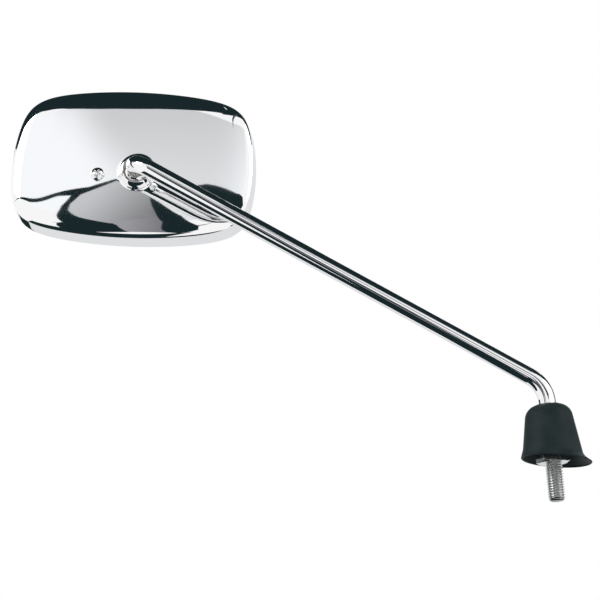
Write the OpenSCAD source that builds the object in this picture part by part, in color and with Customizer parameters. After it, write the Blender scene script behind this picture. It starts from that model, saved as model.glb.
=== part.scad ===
// Chromed mirror for a motorcycle or scooter, left side of the machine.
// Origin: on the stud's axis, in the seat of the lock nut. +Z runs up along the stud.
// The shell's back looks to -Y, the glass looks to +Y and the head lies towards -X.

/* [Stem] */
// Diameter of the rod that the stem is bent from
rod_d = 10; // [9:0.5:11]
// Height of the lower bend's corner above the nut's seat
foot_rise = 45.6; // [44:0.2:60]
// Radius of the lower bend, to the middle of the rod
foot_bend_r = 20; // [16:0.5:22]
// Angle of the straight above the horizontal
climb = 35.7; // [30:0.1:45]
// Angle of the straight towards the rider
set_back = 8.5; // [0:0.5:12]
// Length of the straight, from the lower bend's corner to the upper bend's
straight_l = 276.7; // [200:0.1:320]
// Radius of the upper bend, to the middle of the rod
neck_bend_r = 11; // [9:0.5:12]
// Length from the upper bend's corner to the middle of the ball
neck_l = 22.5; // [21:0.5:26]
// Diameter of the ball
ball_d = 17; // [16:0.1:17.4]

/* [Stud] */
// Outer diameter of the thread
thread_d = 10; // [9.5:0.1:10]
// Pitch of the thread
thread_pitch = 1.5; // [1.25:0.25:1.5]
// Length of thread below the nut's seat
stud_l = 22; // [15:1:40]
// Length of thread above the nut
thread_over = 6; // [3:1:10]
// Length of the chamfer on the stud's point
point_chamfer = 1.3; // [0.5:0.1:2]

/* [Lock nut] */
// Width of the nut across its flats
nut_af = 17; // [16:0.5:19]
// Height of the nut
nut_h = 8; // [6:0.5:10]
// Diameter of the countersink at each end of the nut's bore
nut_sink_d = 10.8; // [10.4:0.1:12]
// Angle of the nut's chamfer
nut_chamfer = 30; // [15:5:30]
// Width of the flat ring that the chamfer leaves at each end, inside the flats
nut_face_inset = 0.2; // [0.1:0.05:0.4]

/* [Boot] */
// Height of the boot's top above the nut's seat
boot_top = 34; // [33:0.2:35.2]
// Height of the middle of the boot's rim above the nut's seat
boot_rim_z = 2.2; // [1:0.1:4]
// Radius of the bell at its rim, without the lip
boot_rim_r = 18.4; // [17:0.1:19]
// Angle of the bell's side to its axis
boot_flare = 10.4; // [8:0.2:12]
// Radius of the bell's round shoulder
shoulder_r = 8; // [5:0.5:9]
// Angle of the bell's top to the horizontal
boot_crown = 20; // [10:1:22]
// Thickness of the rubber
boot_wall = 1.8; // [1.4:0.1:2.2]
// Slant of the rim, lower on the side away from the head
rim_slant = 7.4; // [0:0.1:9]
// Radius of the flared lip at the rim
lip_r = 19.8; // [19.6:0.1:21]
// Shift of the lip towards the low side of the rim
lip_shift = 1.5; // [1:0.1:1.8]
// Height of the lip
lip_h = 6; // [5.4:0.1:6.4]
// Radius of the bead that the lip ends in
lip_bead_r = 2.3; // [1.8:0.1:2.4]

/* [Head outline] */
// Width of the head
head_w = 139.4; // [120:0.2:150]
// Height of the head
head_h = 88.8; // [80:0.2:100]
// Fullness of the corners, 2 for an ellipse
fullness = 8; // [4:0.5:10]
// Narrowing of the outline from its middle to its top
keystone = 0.025; // [0:0.001:0.05]
// Bulge of the two sides, as a share of the half width
side_bulge = 0.09; // [0:0.01:0.12]
// Bulge of the top and bottom, as a share of the half height
end_bulge = 0.19; // [0:0.01:0.24]
// Height of the back's gentle crown
crown_h = 2; // [1:0.1:5]
// Height of the rounding near the back's edge
edge_h = 3; // [1:0.1:5]
// Tightness of that rounding
edge_tightness = 20; // [10:1:30]
// Depth of the side wall
wall_depth = 16; // [14:0.5:20]
// Thickness of the shell's sheet
sheet_t = 0.9; // [0.7:0.05:1.1]
// Width of the rolled lip that holds the glass
rim_lip = 3.2; // [3:0.1:4]
// Radius of the rolled lip's edge
rim_r = 1.4; // [1:0.1:1.6]

/* [Head pose] */
// Turn of the head towards the machine
head_turn = 6; // [0:0.5:12]
// Lean of the glass towards the ground
head_lean = 9; // [0:0.5:12]
// Roll of the head, outer end up
head_roll = 9.7; // [0:0.1:14]

/* [Ball joint] */
// Place of the ball across the head, from the outline's middle
ball_x = 4; // [-4:0.1:8]
// Place of the ball up the head, from the outline's middle
ball_z = -6; // [-8:0.1:4]
// Depth of the ball's middle below the back's surface
ball_sink = 1.5; // [1:0.1:2]
// Thickness of the plastic seat ring and friction cup
liner_t = 0.8; // [0.6:0.05:0.9]
// Radial clearance at each face of the liners
liner_gap = 0.05; // [0.02:0.01:0.08]
// Thickness of the socket's wall
socket_t = 1; // [0.8:0.05:1.2]
// Radius of the socket's mouth
mouth_r = 7.7; // [7.5:0.1:7.9]
// Radius of the fillet at the socket's foot
socket_fillet = 1.5; // [1:0.1:2]

/* [Clamp] */
// Thickness of the clamp plate
clamp_t = 1.5; // [1.2:0.1:1.8]
// Depth of the clamp plate's outer face below the ball's middle
clamp_depth = 2; // [1.5:0.1:2.5]
// Width of the clamp plate's tail
clamp_w = 18; // [14:0.5:20]
// Radius of the clamp plate's round head
clamp_head_r = 13.5; // [13:0.5:15]
// Place of the screw across the head, from the outline's middle
screw_x = -18.9; // [-22:0.1:-16]
// Place of the screw up the head, from the outline's middle
screw_z = -8.2; // [-9:0.1:-4]
// Diameter of the screw's thread
screw_d = 4; // [3.8:0.1:4]
// Diameter of the screw's head
screw_head_d = 8; // [7:0.1:8.5]
// Height of the screw's head
screw_head_h = 2.9; // [2.4:0.1:3.1]
// Length of the screw below its head
screw_l = 10; // [9.5:0.5:11]
// Width of the bars of the screw's cross recess
recess_w = 0.9; // [0.7:0.1:1.2]
// Length of the bars of the screw's cross recess
recess_l = 4.5; // [3.5:0.1:5]
// Depth of the screw's cross recess
recess_depth = 1.7; // [1.2:0.1:1.9]
// Height of the straight edge of the screw's head
screw_edge_h = 0.6; // [0.3:0.1:1]
// Radius of the vent in the clamp plate's cup
vent_r = 3; // [2:0.5:3.5]
// Length of the clamp plate past the screw, to its heel
heel_reach = 13; // [10:0.5:15]
// Width of the square clamp nut
clamp_nut_w = 7; // [6.5:0.5:8]
// Height of the square clamp nut
clamp_nut_h = 3.2; // [2.8:0.1:3.4]
// Outer diameter of the spring washer
washer_d = 7.6; // [7:0.1:8]
// Thickness of the spring washer
washer_t = 0.9; // [0.8:0.1:1]
// Width of the spring washer's split
split_w = 0.8; // [0.5:0.1:1.2]

/* [Glass] */
// Thickness of the glass
glass_t = 2; // [1.8:0.1:2.2]
// Radius of the glass's curve
glass_r = 1400; // [1200:50:2000]
// Thickness of the rubber between the lip and the glass
gasket_t = 0.8; // [0.6:0.1:1]
// Width of rubber that shows inside the lip
gasket_show = 1.3; // [0.8:0.1:2]
// Distance from the outline to the edge of the foam pad
pad_inset = 8; // [7:0.5:12]

/* [Hidden] */
$fn = 96;

// Clearance between pieces that are seated on each other
seat_gap = 0.1;
// Clearance of a screw or rod in the hole that it passes through
hole_gap = 0.2;
// Clearance between meshing threads
thread_gap = 0.04;
// Angles, from the pole that points out of the back, between which each liner holds the ball
seat_zone = [60, 90];
cup_zone = [112, 155];
// Length by which a cutting tool runs past what it cuts
past = 1;
// Length by which a straight runs into each of its bends
bend_lap = 0.5;
// Amount by which the rod is thinner, in radius, where it is bent
bend_thinning = 0.03;
// Number of points round the head's outline
outline_points = 96;
// Number of steps in which the foam pad follows the glass
pad_steps = 24;
// Number of facets in the whole circle that the glass's curve is a part of
dome_facets = 1440;
// Angle by which outline points are crowded into the corners
crowding = 6;
// Number of rings from the middle of the back to its edge
crown_rings = 10;
// Number of steps in the rolled lip's edge
rim_steps = 3;

// Radius of the rod
rod_r = rod_d / 2;
// Radius of the ball
ball_r = ball_d / 2;
// Radius of the thread's pitch cylinder, where stud and nut mesh
pitch_r = (thread_d - 0.65 * thread_pitch) / 2;
// Direction of the straight, seen from the lower bend
straight_dir = [-cos(climb) * cos(set_back), cos(climb) * sin(set_back), sin(climb)];
// Corners of the two bends
foot_corner = [0, 0, foot_rise];
neck_corner = foot_corner + straight_l * straight_dir;
// Direction from the upper bend into the head
inward = [sin(head_turn) * cos(head_lean), cos(head_turn) * cos(head_lean), -sin(head_lean)];
// Middle of the ball
ball_at = neck_corner + neck_l * inward;

// Half width and half height of the head
half_w = head_w / 2;
half_h = head_h / 2;
// Radii of the liners' faces and of the faces that hold them
liner_in = ball_r + liner_gap;
liner_out = liner_in + liner_t;
seat_r = liner_out + liner_gap;
socket_r = seat_r + socket_t;
cup_r = seat_r + clamp_t;
// Place of the ball's middle in the head
ball_y = ball_sink - back_depth(ball_x, ball_z);
// Place of the clamp plate's two faces in the head
clamp_y = ball_y + clamp_depth;
clamp_back_y = clamp_y + clamp_t;
// Place of the screw head's seat in the head
screw_y = -back_depth(screw_x, screw_z) - seat_gap;
// Place of the heel across the head
heel_x = screw_x - heel_reach;
// Fall of the glass's curve at the middle of its top edge and at its farthest corner
glass_sag = glass_r - sqrt(pow(glass_r, 2) - pow(half_h, 2));
corner_sag = glass_r - sqrt(pow(glass_r, 2) - pow(half_w, 2) - pow(half_h, 2));
// Places along the head of the glass's front, at its middle, and of its back
glass_front = wall_depth - sheet_t - gasket_t - 2 * seat_gap + glass_sag;
glass_back = glass_front - glass_t;
// Distances from the outline to the edge of the gasket, of the glass and of the gasket's inside
gasket_edge = sheet_t + seat_gap;
glass_edge = gasket_edge + gasket_t + seat_gap;
gasket_inside = rim_lip + gasket_show;

// Height of the crowned back above its edge, at shares of the half width and half height
function crown(wide, high) =
    let(share = pow(pow(abs(wide), fullness) + pow(abs(high), fullness), 1 / fullness),
        dome = crown_h * (1 - pow(wide, 2)) * (1 - pow(high, 2)))
    (edge_h + dome) * (1 - pow(share, edge_tightness));

// Place on the head for shares of the half width and half height, with the outline's bulges
function bulged(wide, high) =
    let(x = half_w * wide * (1 - keystone * high - side_bulge * pow(high, 2)))
    [x, half_h * high * (1 - end_bulge * pow(x / half_w, 2))];

// Height of the crowned back above its edge, at a place on the head
function back_depth(x, z) =
    let(high = z / half_h / (1 - end_bulge * pow(x / half_w, 2)),
        wide = x / half_w / (1 - keystone * high - side_bulge * pow(high, 2)))
    crown(wide, high);

// Point of the outline before it is bulged, as shares of the half width and half height
function corner_point(turn) =
    let(aim = turn + crowding * sin(4 * turn),
        size = pow(pow(abs(cos(aim)), fullness) + pow(abs(sin(aim)), fullness), 1 / fullness))
    [cos(aim), sin(aim)] / size;

// Shares at one point of a ring that is drawn in from the outline by a share and a distance
function ring_point(i, share, inset) =
    let(p = share * corner_point(360 * i / outline_points))
    [p[0] * (1 - inset / half_w), p[1] * (1 - inset / half_h)];

// The outline as a list of points, drawn in by a distance
function outline(inset) =
    [for (i = [0:outline_points - 1])
        let(p = ring_point(i, 1, inset)) bulged(p[0], p[1])];

// One ring of a loft: share, inset, and place along the head before the crown is taken off
function ring(section) =
    [for (i = [0:outline_points - 1])
        let(full = ring_point(i, section[0], 0),
            p = ring_point(i, section[0], section[1]),
            q = bulged(p[0], p[1]))
        [q[0], section[2] - crown(full[0], full[1]), q[1]]];

function unit(v) = v / norm(v);

// Puts its children's axes on the given directions
module in_frame(at, x_dir, y_dir) {
    z_dir = cross(x_dir, y_dir);
    multmatrix([
        [x_dir[0], y_dir[0], z_dir[0], at[0]],
        [x_dir[1], y_dir[1], z_dir[1], at[1]],
        [x_dir[2], y_dir[2], z_dir[2], at[2]],
        [0, 0, 0, 1]
    ]) children();
}

// Puts its children, drawn in the head's own axes, where the head is
module in_head() {
    translate(ball_at)
        rotate([0, 0, -head_turn])
            rotate([-head_lean, 0, 0])
                rotate([0, head_roll, 0])
                    translate([-ball_x, -ball_y, -ball_z])
                        children();
}

// Puts its children, whose Z axis points out of the head's back, at a place in the head
module facing_out(x, y, z) {
    translate([x, y, z]) rotate([90, 0, 0]) children();
}

// Straight rod between two distances from a corner
module rod_run(from, to, corner, direction) {
    translate(corner + from * direction)
        rotate([0, acos(direction[2]), atan2(direction[1], direction[0])])
            cylinder(r = rod_r, h = to - from);
}

// Bend of the rod round a corner, thinned a little by the bending
module rod_bend(corner, dir_in, dir_out, bend_r) {
    angle = acos(dir_in * dir_out);
    start = corner - dir_in * bend_reach(dir_in, dir_out, bend_r);
    side = unit(dir_out - (dir_out * dir_in) * dir_in);
    in_frame(start + side * bend_r, -side, dir_in)
        rotate_extrude(angle = angle) translate([bend_r, 0]) circle(r = rod_r - bend_thinning);
}

// Length that a bend takes up from its corner
function bend_reach(dir_in, dir_out, bend_r) = bend_r * tan(acos(dir_in * dir_out) / 2);

// One rod with a headed ball, two bends and a threaded end
module stem() {
    up = [0, 0, 1];
    foot_reach = bend_reach(up, straight_dir, foot_bend_r);
    neck_reach = bend_reach(straight_dir, inward, neck_bend_r);
    color("gainsboro")
        union() {
            stud();
            rod_run(nut_h + thread_over, foot_rise - foot_reach + bend_lap, [0, 0, 0], up);
            rod_bend(foot_corner, up, straight_dir, foot_bend_r);
            rod_run(foot_reach - bend_lap, straight_l - neck_reach + bend_lap, foot_corner,
                straight_dir);
            rod_bend(neck_corner, straight_dir, inward, neck_bend_r);
            rod_run(neck_reach - bend_lap, neck_l, neck_corner, inward);
            translate(ball_at) sphere(r = ball_r);
        }
}

// Threaded end of the stem, drawn at its pitch diameter where the nut meshes with it
module stud() {
    thread_r = thread_d / 2;
    rotate_extrude()
        polygon([
            [0, -stud_l],
            [thread_r - point_chamfer, -stud_l],
            [thread_r, point_chamfer - stud_l],
            [thread_r, 0],
            [pitch_r, 0],
            [pitch_r, nut_h],
            [thread_r, nut_h],
            [thread_r, nut_h + thread_over],
            [0, nut_h + thread_over]
        ]);
}

// Hexagon nut with chamfered corners and a countersink at each end
module locknut() {
    corner_r = nut_af / 2 / cos(30);
    face_r = nut_af / 2 - nut_face_inset;
    chamfer_h = (corner_r - face_r) * tan(nut_chamfer);
    sink_h = nut_sink_d / 2 - pitch_r;
    color("silver")
        difference() {
            intersection() {
                cylinder(r = corner_r, h = nut_h, $fn = 6);
                rotate_extrude()
                    polygon([
                        [0, 0],
                        [face_r, 0],
                        [corner_r, chamfer_h],
                        [corner_r, nut_h - chamfer_h],
                        [face_r, nut_h],
                        [0, nut_h]
                    ]);
            }
            translate([0, 0, -past]) cylinder(r = pitch_r + thread_gap, h = nut_h + 2 * past);
            for (end = [0, 1])
                translate([0, 0, end * nut_h]) mirror([0, 0, end])
                    translate([0, 0, -past])
                        cylinder(r1 = nut_sink_d / 2 + past, r2 = pitch_r, h = sink_h + past);
        }
}

// Half of the bell's section down to a level, drawn in by a distance
module bell_section(inset, foot_z) {
    side = [cos(boot_flare), sin(boot_flare)];
    crown = [sin(boot_crown), cos(boot_crown)];
    land_r = rod_r + boot_wall;
    round_r = shoulder_r - inset;
    // Distances of the side's and the crown's lines from the origin
    side_reach = [boot_rim_r, boot_rim_z] * side;
    crown_reach = [land_r, boot_top] * crown;
    // The shoulder's middle lies one radius inside both lines
    middle = crossing(side, side_reach - shoulder_r, crown, crown_reach - shoulder_r);
    foot = crossing(side, side_reach - inset, [0, 1], foot_z);
    land_z = boot_top - inset / cos(boot_crown);
    polygon([[0, foot_z], foot, middle + round_r * side, middle, middle + round_r * crown,
        [land_r, land_z], [0, land_z]]);
    intersection() {
        translate(middle) circle(r = round_r);
        translate([0, foot_z]) square(boot_top - foot_z);
    }
}

// Point where two lines cross, each given by its normal and its distance from the origin
function crossing(normal_a, reach_a, normal_b, reach_b) =
    [reach_a * normal_b[1] - reach_b * normal_a[1], reach_b * normal_a[0] - reach_a * normal_b[0]]
        / (normal_a[0] * normal_b[1] - normal_a[1] * normal_b[0]);

// Rubber bell with a slanted rim, over the lock nut
module boot() {
    foot_z = -boot_rim_z - lip_h;
    reach = 2 * lip_r;
    color([0.12, 0.16, 0.16])
        difference() {
            union() {
                difference() {
                    rotate_extrude() bell_section(0, foot_z);
                    at_rim()
                        translate([-reach, -reach, boot_wall / 2 - reach])
                            cube([2 * reach, 2 * reach, reach]);
                }
                at_rim() translate([lip_shift, 0, 0]) lip_ring();
            }
            rotate_extrude() bell_section(boot_wall, 2 * foot_z);
            cylinder(r = rod_r + seat_gap, h = boot_top + past);
        }
}

// Puts its children on the slanted plane of the boot's rim
module at_rim() {
    translate([0, 0, boot_rim_z]) rotate([0, rim_slant, 0]) children();
}

// Flared and beaded lip, whose upper end is buried in the bell's wall on the low side
module lip_ring() {
    slope = boot_flare + rim_slant;
    root_r = (boot_rim_r * cos(boot_flare) - lip_h * sin(slope)) / cos(slope)
        - lip_shift - seat_gap;
    inner_r = root_r - boot_wall;
    rotate_extrude() {
        polygon([
            [inner_r, 0],
            [lip_r - lip_bead_r, 0],
            [lip_r, lip_bead_r],
            [root_r, lip_h],
            [inner_r, lip_h]
        ]);
        translate([lip_r - lip_bead_r, lip_bead_r]) circle(r = lip_bead_r);
    }
}

// Pressed housing: crowned back, side wall, rolled lip and ball socket
module shell() {
    color("gainsboro")
        in_head()
            difference() {
                union() {
                    shell_sheet();
                    facing_out(ball_x, ball_y, ball_z) rotate_extrude() socket_section();
                }
                translate([ball_x, ball_y, ball_z]) sphere(r = seat_r);
                facing_out(ball_x, ball_y, ball_z) cylinder(r = mouth_r, h = socket_r + past);
                facing_out(screw_x, clamp_y, screw_z)
                    cylinder(r = screw_d / 2 + hole_gap, h = clamp_y - screw_y + past);
            }
}

// The sheet as one loft: out over the back, round the lip and back along the inside
module shell_sheet() {
    shares = [for (i = [1:crown_rings]) sin(90 * i / crown_rings)];
    outside = [for (s = shares) [s, 0, 0]];
    lip = [for (i = [0:rim_steps])
        let(turn = 90 * i / rim_steps)
        [1, rim_r * (1 - cos(turn)), wall_depth - rim_r * (1 - sin(turn))]];
    lip_edge = [
        [1, rim_lip, wall_depth],
        [1, rim_lip, wall_depth - sheet_t],
        [1, sheet_t, wall_depth - sheet_t]
    ];
    inside = [for (i = [crown_rings - 1:-1:0]) [shares[i], sheet_t, sheet_t]];
    loft(concat(outside, lip, lip_edge, inside), -crown(0, 0), sheet_t - crown(0, 0));
}

// Closed solid through a list of rings, from a pole at one place to a pole at another
module loft(sections, first_pole, last_pole) {
    n = outline_points;
    rings = len(sections);
    points = concat(
        [[0, first_pole, 0]],
        [for (section = sections) each ring(section)],
        [[0, last_pole, 0]]
    );
    faces = concat(
        [for (i = [0:n - 1]) [0, 1 + (i + 1) % n, 1 + i]],
        [for (k = [0:rings - 2], i = [0:n - 1])
            let(a = 1 + k * n + i, b = 1 + k * n + (i + 1) % n)
            each [[a, b, a + n], [b, b + n, a + n]]],
        [for (i = [0:n - 1])
            let(base = 1 + (rings - 1) * n)
            [base + i, base + (i + 1) % n, base + n]]
    );
    polyhedron(points = points, faces = faces);
}

// Half of the socket's section: a ball zone that runs out into the back by a fillet
module socket_section() {
    toe = ball_sink + socket_fillet;
    toe_r = sqrt(pow(socket_r + socket_fillet, 2) - pow(toe, 2));
    touch = [toe_r, toe] * socket_r / (socket_r + socket_fillet);
    root = ball_sink - sheet_t / 2;
    difference() {
        polygon([[0, root], [toe_r, root], [toe_r, toe], touch, [0, touch[1]]]);
        translate([toe_r, toe]) circle(r = socket_fillet);
    }
    intersection() {
        circle(r = socket_r);
        translate([0, root]) square(socket_r);
    }
}

// Ring cut from a hollow ball, between two angles from the pole that points out of the back
module ball_zone(from, to) {
    reach = 2 * liner_out;
    facing_out(ball_x, ball_y, ball_z)
        rotate_extrude()
            intersection() {
                difference() {
                    circle(r = liner_out);
                    circle(r = liner_in);
                }
                polygon([
                    [0, 0],
                    [reach * sin(from), reach * cos(from)],
                    [reach, reach * cos((from + to) / 2)],
                    [reach * sin(to), reach * cos(to)]
                ]);
            }
}

// Plastic ring between the ball and the shell's socket
module seat_ring() {
    color("ivory") in_head() ball_zone(seat_zone[0], seat_zone[1]);
}

// Plastic cup between the ball and the clamp plate
module friction_cup() {
    color("ivory") in_head() ball_zone(cup_zone[0], cup_zone[1]);
}

// Pressed plate with a cup for the ball, a hole for the screw and a heel on the shell
module clamp_plate() {
    cup_z = clamp_depth + clamp_t;
    color("darkgray")
        in_head()
            facing_out(0, clamp_back_y, 0)
                difference() {
                    union() {
                        translate([ball_x, ball_z, 0]) cylinder(r = clamp_head_r, h = clamp_t);
                        translate([0, screw_z + clamp_w / 2, 0])
                            rotate([90, 0, 0]) linear_extrude(height = clamp_w) tail_section();
                        intersection() {
                            translate([ball_x, ball_z, cup_z]) sphere(r = cup_r);
                            translate([ball_x - cup_r, ball_z - cup_r, clamp_t - 2 * cup_r])
                                cube(2 * cup_r);
                        }
                    }
                    translate([ball_x, ball_z, cup_z]) sphere(r = seat_r);
                    translate([ball_x, ball_z, -cup_r]) cylinder(r = vent_r, h = cup_r);
                    translate([screw_x, screw_z, -past])
                        cylinder(r = screw_d / 2 + hole_gap, h = clamp_t + 2 * past);
                }
}

// The plate's tail seen from the side, with its bent heel that stands on the shell
module tail_section() {
    foot_depth = back_depth(heel_x - clamp_t, screw_z - clamp_w / 2);
    foot_z = clamp_back_y - (sheet_t - foot_depth + seat_gap);
    polygon([
        [heel_x - clamp_t, clamp_t],
        [heel_x, 0],
        [ball_x, 0],
        [ball_x, clamp_t],
        [heel_x, clamp_t],
        [heel_x, foot_z],
        [heel_x - clamp_t, foot_z]
    ]);
    intersection() {
        translate([heel_x, clamp_t]) circle(r = clamp_t);
        translate([heel_x - clamp_t, 0]) square(clamp_t);
    }
}

// Cross-head pan screw that pulls the clamp plate to the ball
module clamp_screw() {
    head_r = screw_head_d / 2;
    rise = screw_head_h - screw_edge_h;
    dome_r = (pow(head_r, 2) + pow(rise, 2)) / (2 * rise);
    color("silver")
        in_head()
            facing_out(screw_x, screw_y, screw_z) {
                difference() {
                    union() {
                        intersection() {
                            cylinder(r = head_r, h = screw_head_h);
                            translate([0, 0, screw_head_h - dome_r]) sphere(r = dome_r);
                        }
                        translate([0, 0, -screw_l]) cylinder(r = screw_d / 2, h = screw_l + past);
                    }
                    for (turn = [30, 120])
                        rotate([0, 0, turn])
                            translate([-recess_l / 2, -recess_w / 2, screw_head_h - recess_depth])
                                cube([recess_l, recess_w, screw_head_h]);
                }
            }
}

// Split spring washer between the clamp plate and its nut
module lock_washer() {
    color("dimgray")
        in_head()
            facing_out(screw_x, clamp_back_y + seat_gap + washer_t, screw_z)
                difference() {
                    cylinder(r = washer_d / 2, h = washer_t);
                    translate([0, 0, -past])
                        cylinder(r = screw_d / 2 + hole_gap, h = washer_t + 2 * past);
                    translate([0, -split_w / 2, -past])
                        cube([washer_d, split_w, washer_t + 2 * past]);
                }
}

// Square nut on the clamp screw
module clamp_nut() {
    nut_y = clamp_back_y + 2 * seat_gap + washer_t + clamp_nut_h;
    color("dimgray")
        in_head()
            facing_out(screw_x, nut_y, screw_z)
                difference() {
                    translate([-clamp_nut_w / 2, -clamp_nut_w / 2, 0])
                        cube([clamp_nut_w, clamp_nut_w, clamp_nut_h]);
                    translate([0, 0, -past])
                        cylinder(r = screw_d / 2 + thread_gap, h = clamp_nut_h + 2 * past);
                }
}

// Slab across the head, cut to the outline drawn in by a distance
module outline_slab(inset, low_y, high_y) {
    translate([0, high_y, 0])
        rotate([90, 0, 0])
            linear_extrude(height = high_y - low_y) polygon(outline(inset));
}

// Everything behind a dome of the glass's radius whose top is at a place along the head
module behind_dome(top_y) {
    translate([0, top_y, 0])
        rotate([-90, 0, 0])
            rotate_extrude()
                intersection() {
                    translate([0, -glass_r]) circle(r = glass_r, $fn = dome_facets);
                    translate([0, -head_h]) square([head_w, 2 * head_h]);
                }
}

// Curved pane, drawn larger by a distance on every side
module pane(grow) {
    difference() {
        intersection() {
            outline_slab(glass_edge - grow, 0, wall_depth + past);
            behind_dome(glass_front + grow);
        }
        behind_dome(glass_back - grow);
    }
}

// Convex mirror glass
module mirror_glass() {
    color("lightsteelblue") in_head() pane(0);
}

// Rubber ring with a U section round the edge of the glass
module glass_gasket() {
    low_y = glass_back - corner_sag - gasket_t;
    color([0.1, 0.1, 0.1])
        in_head()
            difference() {
                outline_slab(gasket_edge, low_y, wall_depth - sheet_t - seat_gap);
                outline_slab(gasket_inside, low_y - past, wall_depth + past);
                pane(seat_gap);
            }
}

// Foam pad between the clamp plate's cup and the glass, which follows the glass in steps
module backing_pad() {
    top_y = glass_back - seat_gap;
    color("dimgray")
        in_head()
            intersection() {
                outline_slab(pad_inset, ball_y + cup_r + seat_gap, wall_depth);
                rotate([-90, 0, 0])
                    rotate_extrude()
                        polygon(concat([[0, 0]], dome_points(top_y), [[head_w, 0]]));
            }
}

// Points along the glass's curve, from its middle outwards
function dome_points(top_y) =
    [for (i = [0:pad_steps])
        let(r = head_w * i / pad_steps)
        [r, top_y - glass_r + sqrt(pow(glass_r, 2) - pow(r, 2))]];

stem();
locknut();
boot();
shell();
mirror_glass();
glass_gasket();
backing_pad();
seat_ring();
friction_cup();
clamp_plate();
clamp_screw();
lock_washer();
clamp_nut();
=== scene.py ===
"""Looks of a chromed motorcycle mirror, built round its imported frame.

The frame's origin is on the stud's axis, in the seat of the lock nut, with +Z up along the
stud. The shell's back looks to -Y and the glass to +Y. Sizes in the classes below are
millimetres, as they are in the part's source, and meshes are written in metres.
"""

import logging
from dataclasses import dataclass, field
from enum import Enum

import bpy
import numpy as np
from mathutils import Matrix

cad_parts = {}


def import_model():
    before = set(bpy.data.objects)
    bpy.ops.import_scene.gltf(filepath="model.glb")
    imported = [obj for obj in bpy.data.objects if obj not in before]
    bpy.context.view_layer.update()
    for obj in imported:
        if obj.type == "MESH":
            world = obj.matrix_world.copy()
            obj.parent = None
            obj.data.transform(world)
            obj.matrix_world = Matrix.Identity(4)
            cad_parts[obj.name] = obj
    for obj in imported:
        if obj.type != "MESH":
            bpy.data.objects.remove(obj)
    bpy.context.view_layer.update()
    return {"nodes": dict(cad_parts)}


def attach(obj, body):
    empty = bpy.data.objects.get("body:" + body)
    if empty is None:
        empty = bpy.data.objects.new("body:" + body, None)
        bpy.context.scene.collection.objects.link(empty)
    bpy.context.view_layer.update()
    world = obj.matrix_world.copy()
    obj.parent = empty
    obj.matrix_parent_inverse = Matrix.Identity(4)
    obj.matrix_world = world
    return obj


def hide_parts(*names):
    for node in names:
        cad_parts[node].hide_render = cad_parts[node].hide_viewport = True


LOG = logging.getLogger("mirror")
MM = 0.001
TAU = 2 * np.pi

Triple = tuple[float, float, float]
Flat = tuple[tuple[float, float], ...]


def unit(v: np.ndarray) -> np.ndarray:
    """Scale vectors to length one.

    Args:
        v: One vector, or an array of them in its last axis.

    Returns:
        The same directions with length one.
    """
    v = np.asarray(v, float)
    return v / np.linalg.norm(v, axis=-1, keepdims=True)


def turned(v: np.ndarray, axis: np.ndarray, angle: np.ndarray) -> np.ndarray:
    """Turn a vector about an axis by many angles at once.

    Formula: v cos(a) + (k x v) sin(a) + k (k . v) (1 - cos(a)).

    Args:
        v: The vector to turn.
        axis: Unit axis k.
        angle: Angles a in radians, of shape (n,).

    Returns:
        Array of shape (n, 3).
    """
    c, s = np.cos(angle)[:, None], np.sin(angle)[:, None]
    return v * c + np.cross(axis, v) * s + axis * np.dot(axis, v) * (1 - c)


def arc(
    centre: tuple[float, float], radius: float, start: float, end: float, steps: int
) -> np.ndarray:
    """Points along a circular arc in a section's plane.

    Formula: centre + radius (cos a, sin a) for a from start to end.

    Args:
        centre: Middle of the circle.
        radius: Radius of the circle.
        start: First angle in degrees.
        end: Last angle in degrees.
        steps: Number of points.

    Returns:
        Array of shape (steps, 2).
    """
    a = np.radians(np.linspace(start, end, steps))
    return np.c_[centre[0] + radius * np.cos(a), centre[1] + radius * np.sin(a)]


def smooth_step(x: np.ndarray) -> np.ndarray:
    """Rise from 0 to 1 with level ends: 3 x^2 - 2 x^3, clipped outside 0 to 1."""
    x = np.clip(x, 0, 1)
    return x * x * (3 - 2 * x)


def full_turn(count: int) -> np.ndarray:
    """Angles at equal steps round a full turn, without the one that closes it."""
    return np.linspace(0, TAU, count, endpoint=False)


def revolved(radius: np.ndarray, height: np.ndarray, around: np.ndarray) -> np.ndarray:
    """Rings about Z: (r cos a, r sin a, z).

    Args:
        radius: Radii r, one for each ring or one for each point.
        height: Heights z, given in the same way.
        around: Angles a of the columns.

    Returns:
        Array of shape (rings, columns, 3).
    """
    x, y = radius * np.cos(around), radius * np.sin(around)
    return np.stack(np.broadcast_arrays(x, y, height), -1)


class Close(Enum):
    """How the first and last rows of a lattice of points are closed."""

    CAPS = "caps"
    LOOP = "loop"


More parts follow.
